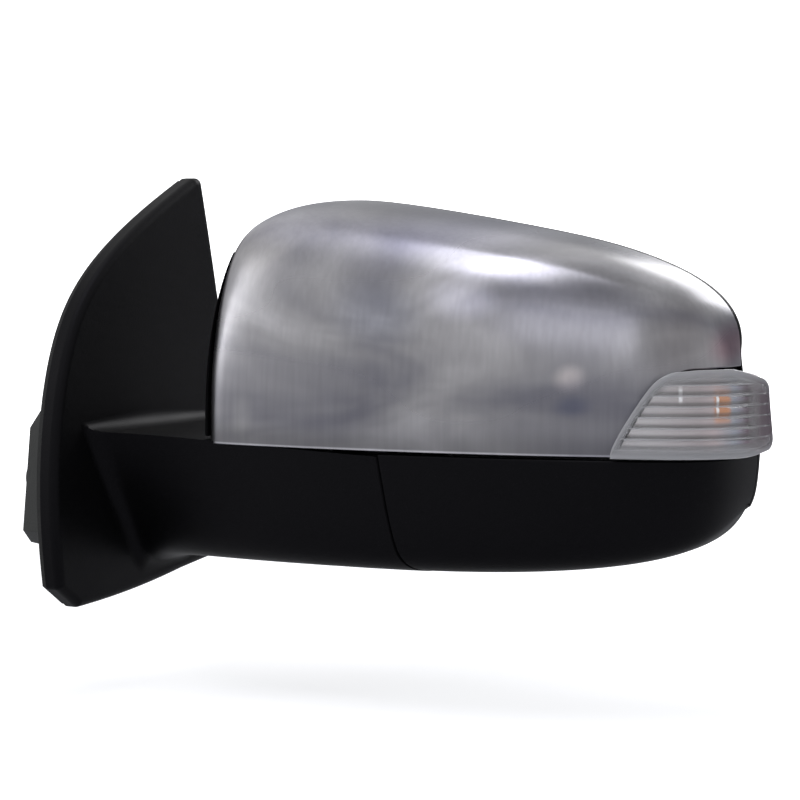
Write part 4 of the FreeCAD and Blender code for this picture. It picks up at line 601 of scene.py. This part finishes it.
def arch_height(x):
    """Height of the lamp's upper edge at a place along the head: a smooth curve that
    leaves the seam at the lamp's tip and levels out over it."""
    runs = np.hypot(*np.diff(ARCH * (HEAD_LENGTH / mm, 1), axis=0).T)
    steps = np.concatenate([[0], np.cumsum(runs)])
    fine = np.linspace(0, steps[-1], ARCH_POINTS)
    curve = np.stack([np.interp(fine, steps, ARCH[:, k]) for k in (0, 1)], -1)
    kernel = np.hanning(ARCH_SPREAD + 2)[1:-1]
    ends = ((ARCH_SPREAD // 2, ARCH_SPREAD // 2), (0, 0))
    padded = np.pad(curve, ends, mode="reflect", reflect_type="odd")
    reach, rise = (np.convolve(padded[:, k], kernel / kernel.sum(), "valid") for k in (0, 1))
    return SKIRT_Z + np.interp((x - LAMP_TIP_X) / HEAD_LENGTH, reach, rise * mm, left=0.0)


def cap_edge(points):
    """Positive outboard of the cap's edge, which turns away behind its corner and runs
    out to the head's side under the crown."""
    back = np.clip((points[..., 1] - CAP_TURN_Y) / (RIM_Y - CAP_TURN_Y), 0, 1)
    up = np.clip((points[..., 2] - CAP_TURN_Z) / CAP_TURN_RISE, 0, 1)
    edge = CAP_EDGE_X + CAP_TURN_RUN * back
    return points[..., 0] - edge + (edge - HEAD_INBOARD + CAP_EDGE_SPARE) * up


def cap_foot(points):
    """Room above the cap's lower edge: the seam, then the lamp's upper edge, which the
    cap tucks in behind on the way to the tip."""
    past = points[..., 0] - LAMP_TIP_X
    edge = np.where(past > 0, arch_height(points[..., 0]) + LAMP_GAP, SKIRT_Z)
    return points[..., 2] - edge + CAP_TUCK * np.clip((past - CAP_TUCK_START) / CAP_TUCK_RUN, 0, 1)


def behind(y):
    """A field that is positive forward of a plane across the head's depth."""
    return lambda points: y - points[..., 1]


def ramp(tree, value, marks, blend="LINEAR"):
    """A colour that runs through marks, each a place and a colour."""
    node = add(tree, "ShaderNodeValToRGB", value)
    elements = node.color_ramp.elements
    for at, colour in marks:
        elements.new(at).color = (*colour, 1)
    elements.remove(elements[0])
    elements.remove(elements[-1])
    node.color_ramp.interpolation = blend
    return node.outputs["Color"]


cap_net = head_net()
cap_u, cap_v = trimmed(cap_net, eased(edged(250, 0.0014)), edged(180, 0.0024), cap_edge,
                       behind(CAP_REAR_Y), cap_foot)
cap = shell_of("skull_cap", cap_net, cap_u, cap_v, CAP_WALL, CAP_ROUND)
# The chrome's colour carries painted reflections: mottled clouds of light and dark, dark pools and
# bright highlights.
chrome, shader = new_finish("cap_chrome", (0.34, 0.34, 0.355), Metallic=1.0, Roughness=0.2)
tree = chrome.node_tree
place = add(tree, "ShaderNodeTexCoord").outputs["Object"]
stretch = add(tree, "ShaderNodeMapping", Vector=place, Scale=(0.75, 1.0, 1.9)).outputs["Vector"]
reflection_clouds = add(tree, "ShaderNodeTexNoise", Vector=stretch, Scale=13.0, Detail=3.0, Roughness=0.45,
             Distortion=0.7)
drift = add(tree, "ShaderNodeTexNoise", Vector=stretch, Scale=9.0, Detail=1.0)
painted_reflection_tone = ramp(tree, reflection_clouds.outputs["Fac"], (
    (0.30, (0.125, 0.125, 0.15)), (0.46, (0.21, 0.208, 0.225)),
    (0.60, (0.275, 0.272, 0.285)), (0.74, (0.42, 0.415, 0.445))), "B_SPLINE")
across = vectors(tree, "DOT_PRODUCT", place, BROADSIDE)
height = add(tree, "ShaderNodeSeparateXYZ", place).outputs["Z"]
spot = add(tree, "ShaderNodeCombineXYZ", across, height).outputs["Vector"]
spot = vectors(tree, "MULTIPLY_ADD", drift.outputs["Color"], (SWAY, SWAY, 0.0), spot)
# Painted dark pools and bright highlights, multiplied into the colour.
for middle, reach, gain in PAINTED_POOLS:
    from_it = vectors(tree, "SUBTRACT", spot, (middle[0] + SWAY / 2, middle[1] + SWAY / 2, 0))
    span = vectors(tree, "LENGTH", vectors(tree, "DIVIDE", from_it, (*reach, 1)))
    mask = remap(tree, span, 1.0, 0.15, blend="SMOOTHSTEP")
    painted_pool = add(tree, "ShaderNodeMix", data_type="RGBA", blend_type="MULTIPLY", Factor=mask, A=painted_reflection_tone,
               B=(*gain, 1))
    painted_reflection_tone = painted_pool.outputs["Result"]
upright = add(tree, "ShaderNodeMapping", Vector=place, Scale=(1.0, 1.0, 0.04)).outputs["Vector"]
brushed = add(tree, "ShaderNodeTexNoise", Vector=upright, Scale=420.0, Detail=2.0)
streak = remap(tree, brushed.outputs["Fac"], 0.3, 0.7, 0.955, 1.045)
# Painted highlight: the colour is brightened along the cap's lower edge.
painted_edge_highlight = remap(tree, height, SKIRT_Z + 1.3 * mm, SKIRT_Z + 0.6 * mm, 1.0, 2.6)
streaked_painted_light = vectors(tree, "SCALE", painted_reflection_tone, Scale=maths(tree, "MULTIPLY", streak, painted_edge_highlight))
waver = add(tree, "ShaderNodeBump", Strength=0.35, Distance=4 * mm, Height=drift.outputs["Fac"])
feed(tree, shader, Base_Color=streaked_painted_light, Normal=waver.outputs["Normal"],
     Roughness=remap(tree, drift.outputs["Fac"], 0.35, 0.65, 0.22, 0.38))
cap.data.materials.append(chrome)
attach(cap, "head")
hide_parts("cap_shell")

# ---------------------------------------------------------------- lower cover
# Grained cover under the head.  Its form runs on from the arm's past the seam, which
# is a cone about the leaning fold axis, and wraps up round the head's tip.

FOLD_PLACE = np.array([112, -5, 30.9]) * mm
FOLD_LEAN = math.radians(2.6)
FORM_TOP = 44 * mm
FORM_BACK = 20 * mm
COVER_DROP = 28.5 * mm
COVER_TOP_Z = 28.7 * mm
COVER_WALL = 2.5 * mm
COVER_ROUND = 0.7 * mm
SEAM_RADIUS = 63.9 * mm
SEAM_TAPER = 0.12
SLANT_MARGIN = 15 * mm
SLANT_LEAN = math.radians(45)
SLANT_ENDS = np.array([(203, 45, -15.5), (163, 45, 39.9)]) * mm

# Along the form: place, front edge at the top, front edge at the floor, floor, in mm.
LOWER_STATIONS = np.array([
    (2, -78, -16, -44), (14, -64, -26, -34), (34, -52, -36, -29), (70, -48, -42, -29),
    (125.0, -49.0, -46.0, -28.5), (200.0, -39.0, -36.0, -28.5), (266.0, -25.0, -20.0, -24.0),
    (312.0, -8.0, 4.0, -12.0)]) * mm
# The tip's rows: step past it in mm, share of the depth forward of the rim, share of
# the drop.
LOWER_END = np.array([
    (0.0, 0.000, 0.000), (-1.0, 0.000, 0.193), (-2.0, 0.000, 0.359), (-3.0, 0.021, 0.469),
    (-4.0, 0.053, 0.538), (-2.0, 0.160, 0.524), (1.0, 0.266, 0.386), (2.0, 0.372, 0.000)])


def lower_net():
    """Poles of the lower form, from its front top edge under the floor to its rear."""
    x, front_top, front_foot, floor = LOWER_STATIONS.T
    drop = FORM_TOP - floor
    back = np.full_like(x, RIM_Y + FORM_BACK)
    middle = np.minimum((RIM_Y + front_foot) / 2, back - 8 * mm)
    y = np.stack([back, back, back - 4 * mm, middle, front_foot + 5 * mm, front_foot,
                  0.6 * front_top + 0.4 * front_foot, front_top], 1)
    z = np.stack([0 * x + FORM_TOP, FORM_TOP - 0.5 * drop, floor + 0.02 * drop, floor, floor,
                  floor + 0.22 * drop, floor + 0.6 * drop, 0 * x + FORM_TOP], 1)
    body = np.stack([np.broadcast_to(x[:, None], y.shape), y, z], -1)
    step, forward, fall = LOWER_END.T
    tip = HEAD_INBOARD + HEAD_LENGTH + step * mm
    low = FORM_TOP - fall * (FORM_TOP + COVER_DROP)
    ends = [np.stack([tip, place, low], -1)
            for place in (RIM_Y - forward * HEAD_DEPTH, 0 * low + RIM_Y + FORM_BACK)]
    return np.concatenate([body, np.stack(ends)])[:, ::-1]


def past_seam(points):
    """Distance outside the seam's cone, outboard of the fold axis, and inside the slant
    that trims the lower inboard rear corner."""
    axis = np.array([math.sin(FOLD_LEAN), 0, math.cos(FOLD_LEAN)])
    arm = points - FOLD_PLACE
    up = arm @ axis
    radius = np.linalg.norm(arm - up[..., None] * axis, axis=-1)
    seam = np.where(points[..., 0] > FOLD_PLACE[0], radius - SEAM_RADIUS + SEAM_TAPER * up, -1)
    low, high = SLANT_ENDS
    run = (low - high) / np.linalg.norm(low - high)
    away = np.array([run[2], 0, -run[0]])
    facing = away * math.cos(SLANT_LEAN) + np.array([0, math.sin(SLANT_LEAN), 0])
    slant = ((low + high) / 2 + away * SLANT_MARGIN - points) @ facing
    return np.minimum(seam, slant)


cover_net = lower_net()
cover_u, cover_v = trimmed(cover_net, eased(edged(240, 0.0025)), edged(150, 0.004), past_seam,
                           lambda points: COVER_TOP_Z - points[..., 2], behind(CAP_REAR_Y))
cover = shell_of("lower_skin", cover_net, cover_u, cover_v, COVER_WALL, COVER_ROUND)
cover.data.materials.append(black_grain)
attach(cover, "head")
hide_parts("lower_cover")

# ---------------------------------------------------------------- side lamp
# A clear lens wraps the head's tip over a pale reflector with an amber bulb.  The
# lens is milky along its top and foot, is painted dark at the tip as shade, and has
# level flutes moulded into its back.  The reflector is painted dark towards the tip
# as shade, and carries two painted glints.

LENS_PROUD = 19 * mm
LENS_WALL = 2.6 * mm
LENS_EDGE = 0.8 * mm
LENS_REAR_Y = 29.1 * mm
LENS_ROUND = 9 * mm
LENS_CORNER = 4.5 * mm
LENS_RETURN = 7 * mm
LENS_SIDE = 0.992
LENS_SLANT = 0.021
RETURN_WIDE = 2.6 * mm
RETURN_BLEND = 0.6 * mm
FLUTE_FIRST = 9.0 * mm
FLUTE_PITCH = 4.9 * mm
FLUTE_DEEP = 0.7 * mm
FLUTE_COUNT = 6
FLUTE_MARGIN = 4 * mm
FLUTE_FADE = 2 * mm
# The lens's map: units to the metre for the distance from its top or foot, and up.
BORDER_UNITS = 100
HEIGHT_UNITS = 10
MILK = (0.46, 0.46, 0.475, 1)
PAINTED_TIP_SHADE = (0.055, 0.012, 0.036, 1)
STRIPE_RISE = 1.1 * mm
STRIPE_WIDE = 1.4 * mm
PATCH_OUT = 0.62
PATCH_FULL = 0.3
# Along the reflector: share of its run and colour; the pale greys are its own, and the dark purples
# towards the tip are painted shade.
REFLECTOR_TINTS_AND_SHADE = (
    (0.05, (0.52, 0.50, 0.50)), (0.40, (0.40, 0.35, 0.35)), (0.52, (0.50, 0.41, 0.41)),
    (0.66, (0.27, 0.30, 0.36)), (0.76, (0.09, 0.02, 0.07)), (0.95, (0.07, 0.01, 0.05)))
# Patches on the reflector, an amber one and two white painted glints: from and to along the broad side,
# from and to up, and colour.
LAMP_PATCHES_AND_GLINTS = (
    (0.2715, 0.2795, 0.046, 0.061, (0.62, 0.24, 0.07)),
    (0.2726, 0.2740, 0.050, 0.060, (1.0, 1.0, 1.0)),
    (0.2556, 0.2574, 0.0555, 0.0620, (1.0, 1.0, 1.0)),
)


def tip_round(points):
    """How far the lens's top and foot draw in towards its slanting tip."""
    up = np.clip((points[..., 2] - SKIRT_Z) / LAMP_TALL, 0, 1)
    side = HEAD_INBOARD + (LENS_SIDE - LENS_SLANT * up) * (HEAD_LENGTH + LENS_PROUD) - points[..., 0]
    return sum(radius - np.sqrt(radius ** 2 - (radius - np.clip(room, 0, radius)) ** 2)
               for radius, room in ((LENS_ROUND, side), (LENS_CORNER, LENS_REAR_Y - points[..., 1])))


def lens_top(points):
    """Room left under the lens's upper edge."""
    level = SKIRT_Z + LAMP_TALL - tip_round(points)
    return np.minimum(arch_height(points[..., 0]), level) - points[..., 2]


lens_net = head_net(LENS_PROUD)
lens_u, lens_v = trimmed(
    lens_net, edged(250, 0.006), edged(150, 0.013),
    lambda points: points[..., 0] - LAMP_TIP_X - LAMP_GAP, lens_top,
    lambda points: points[..., 2] - SKIRT_Z - tip_round(points), behind(LENS_REAR_Y))
lens_face = cubic_surface(lens_net, lens_u, lens_v)
rise = lens_face[..., 2] - SKIRT_Z
border = nearest(lens_face, (lens_face[-1:], lens_face[:, :1], lens_face[:, -1:]))
flute = 0.5 + 0.5 * np.cos(2 * math.pi * (rise - FLUTE_FIRST) / FLUTE_PITCH)
fluted = np.abs((rise - FLUTE_FIRST) / FLUTE_PITCH - (FLUTE_COUNT - 1) / 2) < FLUTE_COUNT / 2
fade = np.clip((border - FLUTE_MARGIN) / FLUTE_FADE, 0, 1) * fluted
rim = np.clip((RETURN_WIDE - border) / RETURN_BLEND, 0, 1)
wall = LENS_WALL - FLUTE_DEEP * fade * flute ** 4 + LENS_RETURN * rim
lens = shell_of("side_lens", lens_net, lens_u, lens_v, wall, LENS_EDGE)
spread = lens.data.uv_layers.new(name="border")
loop_vertex = np.empty(len(lens.data.loops), dtype=int)
lens.data.loops.foreach_get("vertex_index", loop_vertex)
level_sides = nearest(lens_face, (lens_face[:, :1], lens_face[:, -1:]))
face_map = np.stack([level_sides * BORDER_UNITS, rise * HEIGHT_UNITS], -1)
face_map = np.concatenate([face_map, face_map[:, ::-1]], axis=1).reshape(-1, 2)
spread.data.foreach_set("uv", face_map[loop_vertex].ravel())

clear, shader = new_finish("clear_lens", (0.93, 0.93, 0.95), Roughness=0.05, IOR=1.46)
shader.inputs["Transmission Weight"].default_value = 1.0
tree = clear.node_tree
reach = add(tree, "ShaderNodeUVMap", uv_map="border").outputs["UV"]
reach = add(tree, "ShaderNodeSeparateXYZ", reach).outputs
milk = remap(tree, reach["X"], 0.12, 0.70, 0.74, 0.03)
beat = maths(tree, "PINGPONG", maths(tree, "SUBTRACT", reach["Y"], HEIGHT_UNITS * FLUTE_FIRST),
             HEIGHT_UNITS * FLUTE_PITCH / 2)
cloudy = maths(tree, "MAXIMUM", milk, remap(tree, beat, 0.0, 0.006, 0.6, 0.0))
across = vectors(tree, "DOT_PRODUCT", add(tree, "ShaderNodeTexCoord").outputs["Object"], BROADSIDE)
# Painted shade: the lens turns dark purple towards its tip, less where it is milky.
tip_shade = remap(tree, across, 0.2860, 0.2955, 0.0, 0.85, "SMOOTHSTEP")
tip_shade = maths(tree, "MULTIPLY", tip_shade, maths(tree, "SUBTRACT", 1.0, cloudy))
milk_and_shade = add(tree, "ShaderNodeMix", data_type="RGBA", Factor=tip_shade, A=MILK, B=PAINTED_TIP_SHADE)
film = add(tree, "ShaderNodeBsdfPrincipled", Base_Color=milk_and_shade.outputs["Result"], Roughness=0.2)
blend = add(tree, "ShaderNodeMixShader", maths(tree, "MAXIMUM", cloudy, tip_shade), shader.outputs["BSDF"],
            film.outputs["BSDF"])
feed(tree, tree.nodes["Material Output"], Surface=blend.outputs[0])
lens.data.materials.append(clear)
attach(lens, "head")
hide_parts("lamp_lens")

reflector, shader = new_finish("lamp_grey", (0.5, 0.45, 0.46), Metallic=0.25, Roughness=0.3)
tree = reflector.node_tree
place = add(tree, "ShaderNodeTexCoord").outputs["Object"]
across = vectors(tree, "DOT_PRODUCT", place, BROADSIDE)
height = add(tree, "ShaderNodeSeparateXYZ", place).outputs["Z"]
# The reflector's colour darkens towards the tip as painted shade.
layer = ramp(tree, remap(tree, across, 0.240, 0.302), REFLECTOR_TINTS_AND_SHADE)
# The amber patch is the bulb's colour; the two white patches are painted glints.
for across_low, across_high, low, high, colour in LAMP_PATCHES_AND_GLINTS:
    window = []
    for value, start, end in ((across, across_low, across_high), (height, low, high)):
        beside = maths(tree, "ABSOLUTE", maths(tree, "SUBTRACT", value, (start + end) / 2))
        wide = end - start
        window.append(remap(tree, beside, wide * PATCH_OUT, wide * PATCH_FULL, blend="SMOOTHSTEP"))
    over = add(tree, "ShaderNodeMix", data_type="RGBA", Factor=maths(tree, "MULTIPLY", *window),
               A=layer, B=(*colour, 1))
    layer = over.outputs["Result"]
beat = maths(tree, "PINGPONG", maths(tree, "SUBTRACT", height, SKIRT_Z + FLUTE_FIRST + STRIPE_RISE),
             FLUTE_PITCH / 2)
stripe = remap(tree, beat, 0.0, STRIPE_WIDE, 0.35, 1.0, "SMOOTHSTEP")
feed(tree, shader, Base_Color=vectors(tree, "SCALE", layer, Scale=stripe))
dress(reflector, "lamp_housing")
amber, shader = new_finish("amber_glass", (0.85, 0.30, 0.04), Roughness=0.15, IOR=1.45)
shader.inputs["Transmission Weight"].default_value = 0.35
dress(amber, "lamp_bulb")
